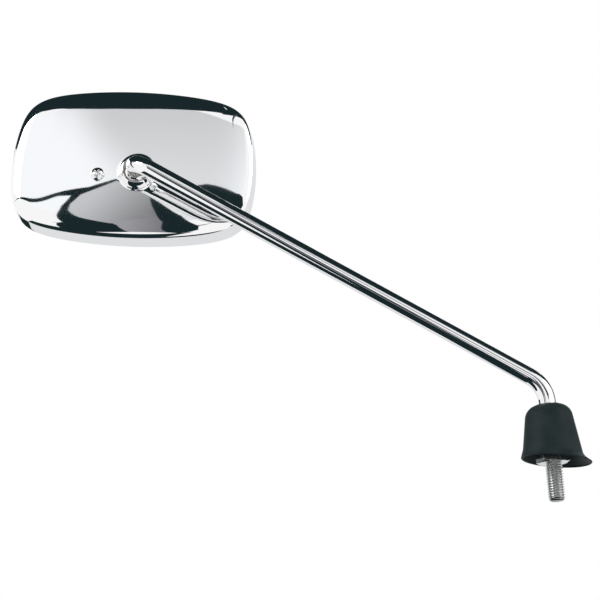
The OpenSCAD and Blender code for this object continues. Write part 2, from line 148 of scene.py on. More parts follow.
def lattice_mesh(name: str, points: np.ndarray, close: Close) -> bpy.types.Object:
    """Make a closed, smooth mesh from a lattice of points whose columns run round.

    Neighbouring rows are joined by quads. Rows are closed into a loop, or each end row is
    closed by a fan to its own middle. The faces are turned to point outwards, which the sign
    of the enclosed volume tells: the sum of a . (b x c) / 6 over the triangles.

    Args:
        name: Name of the object.
        points: Array of shape (rows, columns, 3), in millimetres.
        close: How the end rows are closed.

    Returns:
        The new object, which sits at the origin.
    """
    rows, cols = points.shape[:2]
    index = np.arange(rows * cols).reshape(rows, cols)
    verts = points.reshape(-1, 3)
    lower, upper = index[:-1], index[1:]
    if close is Close.LOOP:
        lower, upper = index, np.roll(index, -1, axis=0)
    quads = np.stack([lower, np.roll(lower, -1, 1), np.roll(upper, -1, 1), upper], -1)
    quads = quads.reshape(-1, 4)
    fans = np.empty((0, 3), int)
    if close is Close.CAPS:
        middles = points[[0, -1]].mean(axis=1)
        first, last = index[0], index[-1]
        bottom = np.stack([np.roll(first, -1), first, np.full(cols, rows * cols)], -1)
        top = np.stack([last, np.roll(last, -1), np.full(cols, rows * cols + 1)], -1)
        verts, fans = np.vstack([verts, middles]), np.vstack([bottom, top])
    triangles = np.vstack([quads[:, [0, 1, 2]], quads[:, [0, 2, 3]], fans])
    a, b, c = (verts[triangles[:, k]] for k in range(3))
    if np.einsum("ij,ij->", a, np.cross(b, c)) < 0:
        quads, fans = quads[:, ::-1], fans[:, ::-1]
    return write_mesh(name, verts, quads, fans)


def write_mesh(
    name: str, verts: np.ndarray, quads: np.ndarray, fans: np.ndarray
) -> bpy.types.Object:
    """Write whole arrays of vertices, quads and triangles into a new smooth object.

    Args:
        name: Name of the object.
        verts: Array of shape (n, 3), in millimetres.
        quads: Array of shape (m, 4) of vertex numbers.
        fans: Array of shape (k, 3) of vertex numbers.

    Returns:
        The new object, linked to the scene.
    """
    mesh = bpy.data.meshes.new(name)
    loops = np.concatenate([quads.ravel(), fans.ravel()]).astype(np.int32)
    starts = np.concatenate([
        np.arange(len(quads)) * 4,
        len(quads) * 4 + np.arange(len(fans)) * 3,
    ]).astype(np.int32)
    mesh.vertices.add(len(verts))
    mesh.vertices.foreach_set("co", (verts * MM).astype(np.float32).ravel())
    mesh.loops.add(len(loops))
    mesh.loops.foreach_set("vertex_index", loops)
    mesh.polygons.add(len(starts))
    mesh.polygons.foreach_set("loop_start", starts)
    mesh.update(calc_edges=True)
    mesh.validate()
    mesh.shade_smooth()
    obj = bpy.data.objects.new(name, mesh)
    bpy.context.scene.collection.objects.link(obj)
    return obj


class Wiring:
    """Short ways to add and join shader nodes in one tree."""

    def __init__(self, tree: bpy.types.NodeTree) -> None:
        """Work on one node tree."""
        self.tree = tree

    def node(self, kind: str, **settings: object) -> bpy.types.Node:
        """Add a node.

        Args:
            kind: Blender's name of the node's type.
            settings: Properties of the node to set.

        Returns:
            The new node.
        """
        made = self.tree.nodes.new(kind)
        for key, value in settings.items():
            setattr(made, key, value)
        return made

    def join(self, source: bpy.types.NodeSocket, target: bpy.types.NodeSocket) -> None:
        """Join an output to an input."""
        self.tree.links.new(source, target)

    def math(self, operation: str, a: object, b: object) -> bpy.types.NodeSocket:
        """Combine two values by a Math node.

        Args:
            operation: Name of the operation.
            a: A socket or a number.
            b: A socket or a number.

        Returns:
            The result's socket.
        """
        made = self.node("ShaderNodeMath", operation=operation)
        for socket, value in zip(made.inputs, (a, b)):
            if isinstance(value, bpy.types.NodeSocket):
                self.join(value, socket)
            else:
                socket.default_value = value
        return made.outputs[0]

    def noise(
        self, place: bpy.types.NodeSocket, scale: object, detail: float
    ) -> bpy.types.NodeSocket:
        """Add a noise.

        Args:
            place: The coordinates that it reads.
            scale: A socket, or a number of waves to the metre.
            detail: How many finer noises lie on top.

        Returns:
            The noise's value, from 0 to 1.
        """
        made = self.node("ShaderNodeTexNoise")
        made.inputs["Detail"].default_value = detail
        if isinstance(scale, bpy.types.NodeSocket):
            self.join(scale, made.inputs["Scale"])
        else:
            made.inputs["Scale"].default_value = scale
        self.join(place, made.inputs["Vector"])
        return made.outputs["Fac"]

    def bump(
        self, height: bpy.types.NodeSocket, strength: bpy.types.NodeSocket, distance: float
    ) -> bpy.types.NodeSocket:
        """Add a bump.

        Args:
            height: The heights, from 0 to 1.
            strength: How much of the bump shows.
            distance: Height of the bump in metres.

        Returns:
            The normal.
        """
        made = self.node("ShaderNodeBump")
        made.inputs["Distance"].default_value = distance
        self.join(strength, made.inputs["Strength"])
        self.join(height, made.inputs["Height"])
        return made.outputs["Normal"]

    def ramp(
        self, share: bpy.types.NodeSocket, low: Triple, high: Triple,
        ends: tuple[float, float] = (0.0, 1.0),
    ) -> bpy.types.NodeSocket:
        """Add a ramp between two colours.

        Args:
            share: The value that picks the colour.
            low: Colour at and below the first end.
            high: Colour at and above the second end.
            ends: Values at which the two colours are reached.

        Returns:
            The colour.
        """
        made = self.node("ShaderNodeValToRGB")
        for element, colour, position in zip(made.color_ramp.elements, (low, high), ends):
            element.color = (*colour, 1)
            element.position = position
        self.join(share, made.inputs["Fac"])
        return made.outputs["Color"]

    def placed(self, group: bpy.types.NodeTree, values: dict[str, float]) -> bpy.types.Node:
        """Place a node group with its own values.

        Args:
            group: The group.
            values: Its inputs by name.

        Returns:
            The group's node.
        """
        made = self.node("ShaderNodeGroup", node_tree=group)
        for label, value in values.items():
            made.inputs[label].default_value = value
        return made


def make_group(
    name: str, inputs: dict[str, float], outputs: dict[str, str]
) -> tuple[bpy.types.NodeTree, Wiring, bpy.types.Node, bpy.types.Node]:
    """Start a shader node group with named number inputs and typed outputs.

    Args:
        name: Name of the group.
        inputs: Input names with their first values.
        outputs: Output names with their socket types.

    Returns:
        The tree, its wiring, its input node and its output node.
    """
    tree = bpy.data.node_groups.new(name, "ShaderNodeTree")
    for label, value in inputs.items():
        socket = tree.interface.new_socket(
            name=label, in_out="INPUT", socket_type="NodeSocketFloat")
        socket.default_value = value
    for label, kind in outputs.items():
        tree.interface.new_socket(name=label, in_out="OUTPUT", socket_type=kind)
    wiring = Wiring(tree)
    return tree, wiring, wiring.node("NodeGroupInput"), wiring.node("NodeGroupOutput")


@dataclass
class Effects:
    """The node groups that several finishes share, each built once.

    Scales are waves to the metre and heights are metres.
    """

    hair_stretch: Triple = (400.0, 2600.0, 2600.0)
    hair_turn: Triple = (0.3, 0.5, 0.2)
    hair_detail: float = 2.0
    hair_sharpness: float = 6.0
    haze_scale: float = 60.0
    haze_detail: float = 5.0
    wave_height: float = 0.0004
    grain_detail: float = 4.0
    grain_height: float = 0.0002
    cloud_scale: float = 90.0
    cloud_detail: float = 3.0
    polish: bpy.types.NodeTree = field(init=False)
    grain: bpy.types.NodeTree = field(init=False)

    def __post_init__(self) -> None:
        """Build the groups."""
        self.polish = self._polish_group()
        self.grain = self._grain_group()

    def _polish_group(self) -> bpy.types.NodeTree:
        """Make the group for a polished plating's fine haze, wiping marks and faint waviness.

        Roughness is base + haze noise + hairline noise^sharpness, where the hairlines' noise
        is stretched along X and turned. A low bump of a broad noise gives the waviness of
        pressed sheet.

        Returns:
            The group, with outputs Roughness and Normal.
        """
        tree, w, given, result = make_group(
            "polish_marks",
            {"Base": 0.03, "Haze": 0.02, "Hairline": 0.02, "Waviness": 0.02, "Wave Scale": 30.0},
            {"Roughness": "NodeSocketFloat", "Normal": "NodeSocketVector"},
        )
        place = w.node("ShaderNodeTexCoord").outputs["Object"]
        stretch = w.node("ShaderNodeMapping")
        stretch.inputs["Scale"].default_value = self.hair_stretch
        stretch.inputs["Rotation"].default_value = self.hair_turn
        w.join(place, stretch.inputs["Vector"])
        hair = w.noise(stretch.outputs["Vector"], 1.0, self.hair_detail)
        sharp_hair = w.math("POWER", hair, self.hair_sharpness)
        haze = w.noise(place, self.haze_scale, self.haze_detail)
        marks = w.math(
            "ADD", w.math("MULTIPLY", sharp_hair, given.outputs["Hairline"]),
            w.math("MULTIPLY", haze, given.outputs["Haze"]))
        w.join(w.math("ADD", marks, given.outputs["Base"]), result.inputs["Roughness"])
        wave = w.noise(place, given.outputs["Wave Scale"], 0.0)
        normal = w.bump(wave, given.outputs["Waviness"], self.wave_height)
        w.join(normal, result.inputs["Normal"])
        return tree

    def _grain_group(self) -> bpy.types.NodeTree:
        """Make the group for a moulded surface: fine grain, cloudy tone and a bump.

        Roughness is base + spread times a cloudy noise, which is also the tone.

        Returns:
            The group, with outputs Tone (0 to 1), Roughness and Normal.
        """
        tree, w, given, result = make_group(
            "moulded_grain",
            {"Scale": 900.0, "Depth": 0.2, "Base": 0.55, "Spread": 0.15},
            {"Tone": "NodeSocketFloat", "Roughness": "NodeSocketFloat",
             "Normal": "NodeSocketVector"},
        )
        place = w.node("ShaderNodeTexCoord").outputs["Object"]
        cloud = w.noise(place, self.cloud_scale, self.cloud_detail)
        w.join(cloud, result.inputs["Tone"])
        spread = w.math("MULTIPLY", cloud, given.outputs["Spread"])
        w.join(w.math("ADD", spread, given.outputs["Base"]), result.inputs["Roughness"])
        grain = w.noise(place, given.outputs["Scale"], self.grain_detail)
        w.join(w.bump(grain, given.outputs["Depth"], self.grain_height), result.inputs["Normal"])
        return tree


def new_material(name: str) -> tuple[bpy.types.Material, Wiring, bpy.types.Node]:
    """Start a node material.

    Args:
        name: Name of the material.

    Returns:
        The material, its wiring and its Principled BSDF.
    """
    material = bpy.data.materials.new(name)
    material.use_nodes = True
    return material, Wiring(material.node_tree), material.node_tree.nodes["Principled BSDF"]


@dataclass(frozen=True)
class Polished:
    """A mirror-bright metal finish with wiping marks and faint waviness.

    A threaded piece also has painted shade in its grooves, given by two radii about Z in
    millimetres: the metal is painted dark up to the first and keeps its own colour from the
    second on.
    """

    name: str
    colour: Triple
    roughness: float
    haze: float
    hairline: float
    waviness: float
    wave_scale: float = 30.0
    grooves: tuple[float, float] | None = None
    # Colour of the painted shade in the thread's grooves.
    groove_shade_colour: Triple = (0.32, 0.33, 0.33)

    def build(self, effects: Effects) -> bpy.types.Material:
        """Make the material.

        Args:
            effects: The shared node groups.

        Returns:
            The material.
        """
        material, w, shader = new_material(self.name)
        shader.inputs["Base Color"].default_value = (*self.colour, 1)
        shader.inputs["Metallic"].default_value = 1.0
        marks = w.placed(effects.polish, {
            "Base": self.roughness, "Haze": self.haze, "Hairline": self.hairline,
            "Waviness": self.waviness, "Wave Scale": self.wave_scale,
        })
        w.join(marks.outputs["Roughness"], shader.inputs["Roughness"])
        w.join(marks.outputs["Normal"], shader.inputs["Normal"])
        # Painted shade darkens the metal in the thread's grooves.
        if self.grooves:
            w.join(self._paint_groove_shade(w), shader.inputs["Base Color"])
        return material

    def _paint_groove_shade(self, w: Wiring) -> bpy.types.NodeSocket:
        """Paint shade into the thread's grooves: darken the metal by its distance from the Z
        axis, between the two groove radii.

        Args:
            w: The material's wiring.

        Returns:
            The colour.
        """
        place = w.node("ShaderNodeTexCoord")
        level = w.node("ShaderNodeVectorMath", operation="MULTIPLY")
        level.inputs[1].default_value = (1, 1, 0)
        w.join(place.outputs["Object"], level.inputs[0])
        radius = w.node("ShaderNodeVectorMath", operation="LENGTH")
        w.join(level.outputs[0], radius.inputs[0])
        share = w.node("ShaderNodeMapRange")
        share.inputs["From Min"].default_value = self.grooves[0] * MM
        share.inputs["From Max"].default_value = self.grooves[1] * MM
        w.join(radius.outputs["Value"], share.inputs["Value"])
        return w.ramp(share.outputs["Result"], self.groove_shade_colour, self.colour)


@dataclass(frozen=True)
class Moulded:
    """A matt finish with grain and a cloudy tone between two colours."""

    name: str
    dark: Triple
    light: Triple
    roughness: float
    spread: float
    grain_scale: float
    grain_depth: float
    metallic: float = 0.0
    specular: float = 0.5
    sheen: float = 0.0
    cloud_ends: tuple[float, float] = (0.3, 0.7)

    def build(self, effects: Effects) -> bpy.types.Material:
        """Make the material.

        Args:
            effects: The shared node groups.

        Returns:
            The material.
        """
        material, w, shader = new_material(self.name)
        shader.inputs["Metallic"].default_value = self.metallic
        shader.inputs["Specular IOR Level"].default_value = self.specular
        shader.inputs["Sheen Weight"].default_value = self.sheen
        grain = w.placed(effects.grain, {
            "Scale": self.grain_scale, "Depth": self.grain_depth,
            "Base": self.roughness, "Spread": self.spread,
        })
        colour = w.ramp(grain.outputs["Tone"], self.dark, self.light, self.cloud_ends)
        w.join(colour, shader.inputs["Base Color"])
        w.join(grain.outputs["Roughness"], shader.inputs["Roughness"])
        w.join(grain.outputs["Normal"], shader.inputs["Normal"])
        return material


class Finish(Enum):
    """Every finish on the mirror."""

    SHELL_CHROME = Polished("shell_chrome", (0.92, 0.92, 0.925), 0.012, 0.02, 0.03, 0.03, 22.0)
    ROD_CHROME = Polished("rod_chrome", (0.90, 0.90, 0.91), 0.015, 0.02, 0.04, 0.02, 60.0)
    # The thread's grooves get painted shade between the radii 4.15 and 4.6 mm.
    THREAD_ZINC = Polished(
        "thread_zinc", (0.80, 0.80, 0.79), 0.10, 0.12, 0.1, 0.15, 300.0, grooves=(4.15, 4.6))
    NUT_ZINC = Polished("nut_zinc", (0.78, 0.78, 0.77), 0.10, 0.15, 0.12, 0.2, 160.0)
    SCREW_PLATE = Polished("screw_plate", (0.84, 0.84, 0.84), 0.06, 0.05, 0.05, 0.05, 200.0)
    MIRROR_SILVER = Polished("mirror_silver", (0.9, 0.92, 0.93), 0.005, 0.004, 0.0, 0.0, 20.0)
    PRESSED_ZINC = Polished("pressed_zinc", (0.66, 0.66, 0.62), 0.25, 0.2, 0.15, 0.2, 120.0)
    DARK_STEEL = Polished("dark_steel", (0.3, 0.3, 0.3), 0.35, 0.15, 0.1, 0.2, 200.0)
    BOOT_RUBBER = Moulded(
        "boot_rubber", (0.007, 0.016, 0.018), (0.016, 0.030, 0.032), 0.46, 0.16, 1600.0, 0.12,
        specular=0.16, sheen=0.02,
    )
    GASKET_RUBBER = Moulded(
        "gasket_rubber", (0.012, 0.012, 0.012), (0.02, 0.02, 0.02), 0.5, 0.15, 1800.0, 0.12)
    FOAM = Moulded("foam", (0.04, 0.04, 0.04), (0.09, 0.09, 0.09), 0.85, 0.1, 1400.0, 0.9)
    BEARING_PLASTIC = Moulded(
        "bearing_plastic", (0.66, 0.63, 0.55), (0.74, 0.72, 0.64), 0.4, 0.15, 1500.0, 0.06)


@dataclass(frozen=True)
class HeadPlace:
    """Where the stem carries the head: its route's sizes and the head's turns.

    Here and in every class of a piece, lengths are in millimetres and angles in degrees,
    unless the class names another unit.

    The head's axes are x across, y in towards the glass and z up, from the outline's middle.
    A point of the head goes to the frame by
    ball_at + Rz(-turn) Rx(-lean) Ry(roll) (point - ball_in_head).
    """

    turn: float = 6.0
    lean: float = 9.0
    roll: float = 9.7
    foot_rise: float = 45.6
    climb: float = 35.7
    set_back: float = 8.5
    straight: float = 276.7
    neck: float = 22.5

    @property
    def matrix(self) -> np.ndarray:
        """The three turns as one matrix.

        Returns:
            Array of shape (3, 3).
        """
        a, b, c = np.radians([-self.turn, -self.lean, self.roll])
        rz = np.array([[np.cos(a), -np.sin(a), 0], [np.sin(a), np.cos(a), 0], [0, 0, 1]])
        rx = np.array([[1, 0, 0], [0, np.cos(b), -np.sin(b)], [0, np.sin(b), np.cos(b)]])
        ry = np.array([[np.cos(c), 0, np.sin(c)], [0, 1, 0], [-np.sin(c), 0, np.cos(c)]])
        return rz @ rx @ ry

    @property
    def inward(self) -> np.ndarray:
        """Direction of the stem's neck, which is the head's y axis."""
        return self.matrix @ np.array([0.0, 1.0, 0.0])

    @property
    def along(self) -> np.ndarray:
        """Direction of the stem's straight part, by its climb and its set-back."""
        c, s = np.radians([self.climb, self.set_back])
        return np.array([-np.cos(c) * np.cos(s), np.cos(c) * np.sin(s), np.sin(c)])

    @property
    def corners(self) -> tuple[np.ndarray, np.ndarray]:
        """Corners of the stem's route at the foot and at the neck."""
        foot = np.array([0.0, 0.0, self.foot_rise])
        return foot, foot + self.straight * self.along

    @property
    def ball_at(self) -> np.ndarray:
        """The ball's middle: the neck's corner + neck times the inward direction."""
        return self.corners[1] + self.neck * self.inward

    def to_frame(self, points: np.ndarray, ball_in_head: np.ndarray) -> np.ndarray:
        """Put points of the head into the frame.

        Args:
            points: Array of shape (..., 3) in the head's axes.
            ball_in_head: The ball's middle in the same axes.

        Returns:
            The points in the frame's axes, in millimetres.
        """
        return (points - ball_in_head) @ self.matrix.T + self.ball_at


@dataclass(frozen=True)
class HeadForm:
    """The form that the shell, the glass and the gasket share.

    Places are given by two shares, wide and high, of the half width and half height. The
    outline is the superellipse wide^p + high^p = 1, and bulged() turns shares into places
    with the outline's keystone and its bulged sides. The back is crowned by
    (edge + crown (1 - wide^2) (1 - high^2)) (1 - s^q) at a share s of the way out. The side
    wall is depth deep and made of sheet.
    """

    width: float = 139.4
    height: float = 88.8
    fullness: float = 8.0
    keystone: float = 0.025
    side_bulge: float = 0.09
    end_bulge: float = 0.19
    crown: float = 2.0
    edge: float = 3.0
    tightness: float = 20.0
    ball_x: float = 4.0
    ball_z: float = -6.0
    ball_sink: float = 1.5
    depth: float = 16.0
    sheet: float = 0.9
    fine_steps: int = 20001

    def turns(self, count: int) -> np.ndarray:
        """Directions of outline points that lie at equal distances along the outline.

        Args:
            count: Number of points.

        Returns:
            Array of angles in radians.
        """
        fine = np.linspace(0, TAU, self.fine_steps)
        steps = np.linalg.norm(np.diff(self.ring(fine, 0.0), axis=0), axis=1)
        run = np.concatenate([[0], np.cumsum(steps)])
        return np.interp(np.arange(count) / count * run[-1], run, fine)

    def bulged(self, wide: np.ndarray, high: np.ndarray) -> np.ndarray:
        """Places for shares: x = a wide (1 - k high - m high^2), z = b high (1 - n (x/a)^2).

        Args:
            wide: Shares of the half width a.
            high: Shares of the half height b.

        Returns:
            Array of shape (..., 2) of x and z.
        """
        x = wide * (1 - self.keystone * high - self.side_bulge * high**2)
        z = high * (1 - self.end_bulge * x**2)
        return np.stack([x * self.width / 2, z * self.height / 2], -1)

    def shares(self, x: np.ndarray, z: np.ndarray) -> tuple[np.ndarray, np.ndarray]:
        """Shares of places on the head, which takes bulged() back.

        Args:
            x: Places across the head.
            z: Places up the head.

        Returns:
            Shares of the half width and of the half height.
        """
        x, z = x / (self.width / 2), z / (self.height / 2)
        high = z / (1 - self.end_bulge * x**2)
        return x / (1 - self.keystone * high - self.side_bulge * high**2), high

    def way_out(self, wide: np.ndarray, high: np.ndarray) -> np.ndarray:
        """Share s of the way from the middle to the outline: (wide^p + high^p)^(1/p).

        Args:
            wide: Shares of the half width.
            high: Shares of the half height.

        Returns:
            The shares of the way.
        """
        return (np.abs(wide) ** self.fullness + np.abs(high) ** self.fullness) ** (
            1 / self.fullness)

    def ring(self, turns: np.ndarray, inset: float) -> np.ndarray:
        """The outline drawn in by a distance.

        Args:
            turns: Directions of the points, in radians.
            inset: Distance in from the outline.

        Returns:
            Array of shape (n, 2) of x and z.
        """
        c, s = np.cos(turns), np.sin(turns)
        size = self.way_out(c, s)
        return self.bulged(
            c / size * (1 - inset / (self.width / 2)), s / size * (1 - inset / (self.height / 2)))

    def back_y(self, x: np.ndarray, z: np.ndarray, inset: float = 0.0) -> np.ndarray:
        """Place of the back's face at places on the head, negative outwards.

        Args:
            x: Places across the head.
            z: Places up the head.
            inset: Distance by which the face's outline is drawn in.

        Returns:
            The places along the head.
        """
        wide, high = self.shares(x, z)
        wide = wide / (1 - inset / (self.width / 2))
        high = high / (1 - inset / (self.height / 2))
        s = np.minimum(self.way_out(wide, high), 1.0)
        dome = self.crown * (1 - wide**2) * (1 - high**2)
        return -(self.edge + dome) * (1 - s**self.tightness)

    @property
    def ball(self) -> np.ndarray:
        """The ball's middle in the head's axes."""
        y = float(self.back_y(np.array([self.ball_x]), np.array([self.ball_z]))[0])
        return np.array([self.ball_x, y + self.ball_sink, self.ball_z])


def ring_3d(flat: np.ndarray, y: float | np.ndarray) -> np.ndarray:
    """Lift a flat ring of x and z to a place along the head.

    Args:
        flat: Array of shape (n, 2).
        y: The place, one for all points or one for each.

    Returns:
        Array of shape (n, 3).
    """
    return np.stack([flat[:, 0], np.broadcast_to(y, len(flat)), flat[:, 1]], -1)


@dataclass
class Shell:
    """The pressed and chromed housing, with its raised round socket.

    The wall's own rows start in the crease at the back, and its inside has a few low rows.
    The socket's outer arc starts a degree and a half below the mouth's corner, which rounds
    it, and the seat's arc starts where the back's inside ends.
    """

    form: HeadForm
    place: HeadPlace
    lip: float = 3.2
    rim_round: float = 1.4
    lip_round: float = 0.4
    lip_step: float = 0.2
    crease: Triple = (0.12, 0.3, 0.8)
    wall_from: float = 2.0
    inside_at: tuple[float, float] = (8.0, 3.0)
    mouth: float = 7.7
    mouth_round: float = 1.5
    seat: float = 9.4
    seat_from: float = 4.5
    wall: float = 1.0
    fillet: float = 1.5
    foot_fade: float = 2.0
    crowding: float = 2.2
    columns: int = 400
    back_rows: int = 120
    inside_rows: int = 40

    def socket_profile(self) -> np.ndarray:
        """Section of the socket's outer face, as radius and height above the ball's middle.

        An arc of the ball zone runs down from the mouth's edge, which is rounded, to where
        the fillet's circle touches it, and the fillet runs out level into the back.

        Returns:
            Array of shape (n, 2).
        """
        outer = self.seat + self.wall
        toe = self.form.ball_sink + self.fillet
        toe_r = np.sqrt((outer + self.fillet) ** 2 - toe**2)
        touch = np.degrees(np.arctan2(toe, toe_r))
        mouth = np.degrees(np.arccos(self.mouth / outer))
        down = arc((0, 0), outer, mouth - self.mouth_round, touch, 22)
        foot = arc((toe_r, toe), self.fillet, 180 + touch, 270, 14)
        return np.vstack([down, foot[1:]])

    def socket_rings(self, around: np.ndarray) -> np.ndarray:
        """The socket's outer face in the head's axes.

        The fillet's foot follows the crowned back: what the back rises or falls between the
        ball and the place is added in step with how near the foot is.

        Args:
            around: Direction of each column from the ball, in radians.

        Returns:
            Array of shape (rings, columns, 3).
        """
        ball = self.form.ball
        profile = self.socket_profile()
        r, h = profile[:, :1], profile[:, 1:]
        x, z = ball[0] + r * np.cos(around), ball[2] + r * np.sin(around)
        nearness = smooth_step((self.form.ball_sink + self.foot_fade - h) / self.foot_fade)
        drop = self.form.back_y(x, z) - (ball[1] - self.form.ball_sink)
        return np.stack([x, ball[1] - h + nearness * drop, z], -1)

    def back_rings(
        self, inner: np.ndarray, outer: np.ndarray, offset: float, rows: int
    ) -> np.ndarray:
        """The crowned back between a ring round the ball and the outline.

        A place is inner + w (outer - inner), with w from 0 to 1 and rows crowded towards the
        outline, and it is lifted by the back's formula.

        Args:
            inner: Ring round the ball, of shape (columns, 2).
            outer: Ring at the outline.
            offset: Distance added inwards, for the sheet's inside.
            rows: Number of rings.

        Returns:
            Array of shape (rows, columns, 3).
        """
        w = 1 - (1 - np.linspace(0, 1, rows)) ** self.crowding
        flat = inner + w[:, None, None] * (outer - inner)
        x, z = flat[..., 0], flat[..., 1]
        return np.stack([x, self.form.back_y(x, z, offset) + offset, z], -1)

    def wall_rings(self, turns: np.ndarray) -> np.ndarray:
        """The side wall, the rolled lip and the wall's inside, from the crease inwards.

        Args:
            turns: The outline's angles.

        Returns:
            Array of shape (rings, columns, 3).
        """
        top, sheet = self.form.depth, self.form.sheet
        rim_y = top - self.rim_round
        y_wall = np.concatenate([self.crease, np.linspace(self.wall_from, rim_y, 8)])
        section = [np.c_[np.zeros(len(y_wall)), y_wall]]
        section.append(arc((self.rim_round, rim_y), self.rim_round, 180, 90, 10)[1:])
        edge = self.lip - self.lip_round
        section.append(arc((edge, top - self.lip_round), self.lip_round, 90, -90, 9))
        under = top - 2 * self.lip_round
        section.append(np.array(
            [[sheet + self.lip_step, under], [sheet, under - self.lip_step]]))
        section.append(np.array([[sheet, y] for y in self.inside_at]))
        rows = [ring_3d(self.form.ring(turns, inset), y) for inset, y in np.vstack(section)]
        return np.stack(rows)

    def seat_rings(self, around: np.ndarray) -> np.ndarray:
        """The socket's inside, an arc of the seat's sphere up to the mouth's edge.

        Args:
            around: Direction of each column from the ball, in radians.

        Returns:
            Array of shape (rings, columns, 3).
        """
        ball = self.form.ball
        mouth = np.degrees(np.arccos(self.mouth / self.seat))
        profile = arc((0, 0), self.seat, self.seat_from, mouth, 16)
        r, h = profile[:, :1], profile[:, 1:]
        return np.stack(np.broadcast_arrays(
            ball[0] + r * np.cos(around), ball[1] - h, ball[2] + r * np.sin(around)), -1)

    def build(self) -> bpy.types.Object:
        """Make the shell as one closed surface that runs round the sheet.

        Returns:
            The shell's object.
        """
        turns = self.form.turns(self.columns)
        outline = self.form.ring(turns, 0.0)
        ball = self.form.ball
        around = np.arctan2(outline[:, 1] - ball[2], outline[:, 0] - ball[0])
        socket = self.socket_rings(around)
        seat = self.seat_rings(around)
        back = self.back_rings(socket[-1][:, [0, 2]], outline, 0.0, self.back_rows)
        sheet = self.form.sheet
        inner = self.form.ring(turns, sheet)
        inside = self.back_rings(seat[0][:, [0, 2]], inner, sheet, self.inside_rows)
        rows = np.vstack([socket, back[1:], self.wall_rings(turns), inside[::-1][:-1], seat])
        shell = lattice_mesh("shell_skin", self.place.to_frame(rows, ball), Close.LOOP)
        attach(shell, "head")
        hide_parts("shell")
        return shell


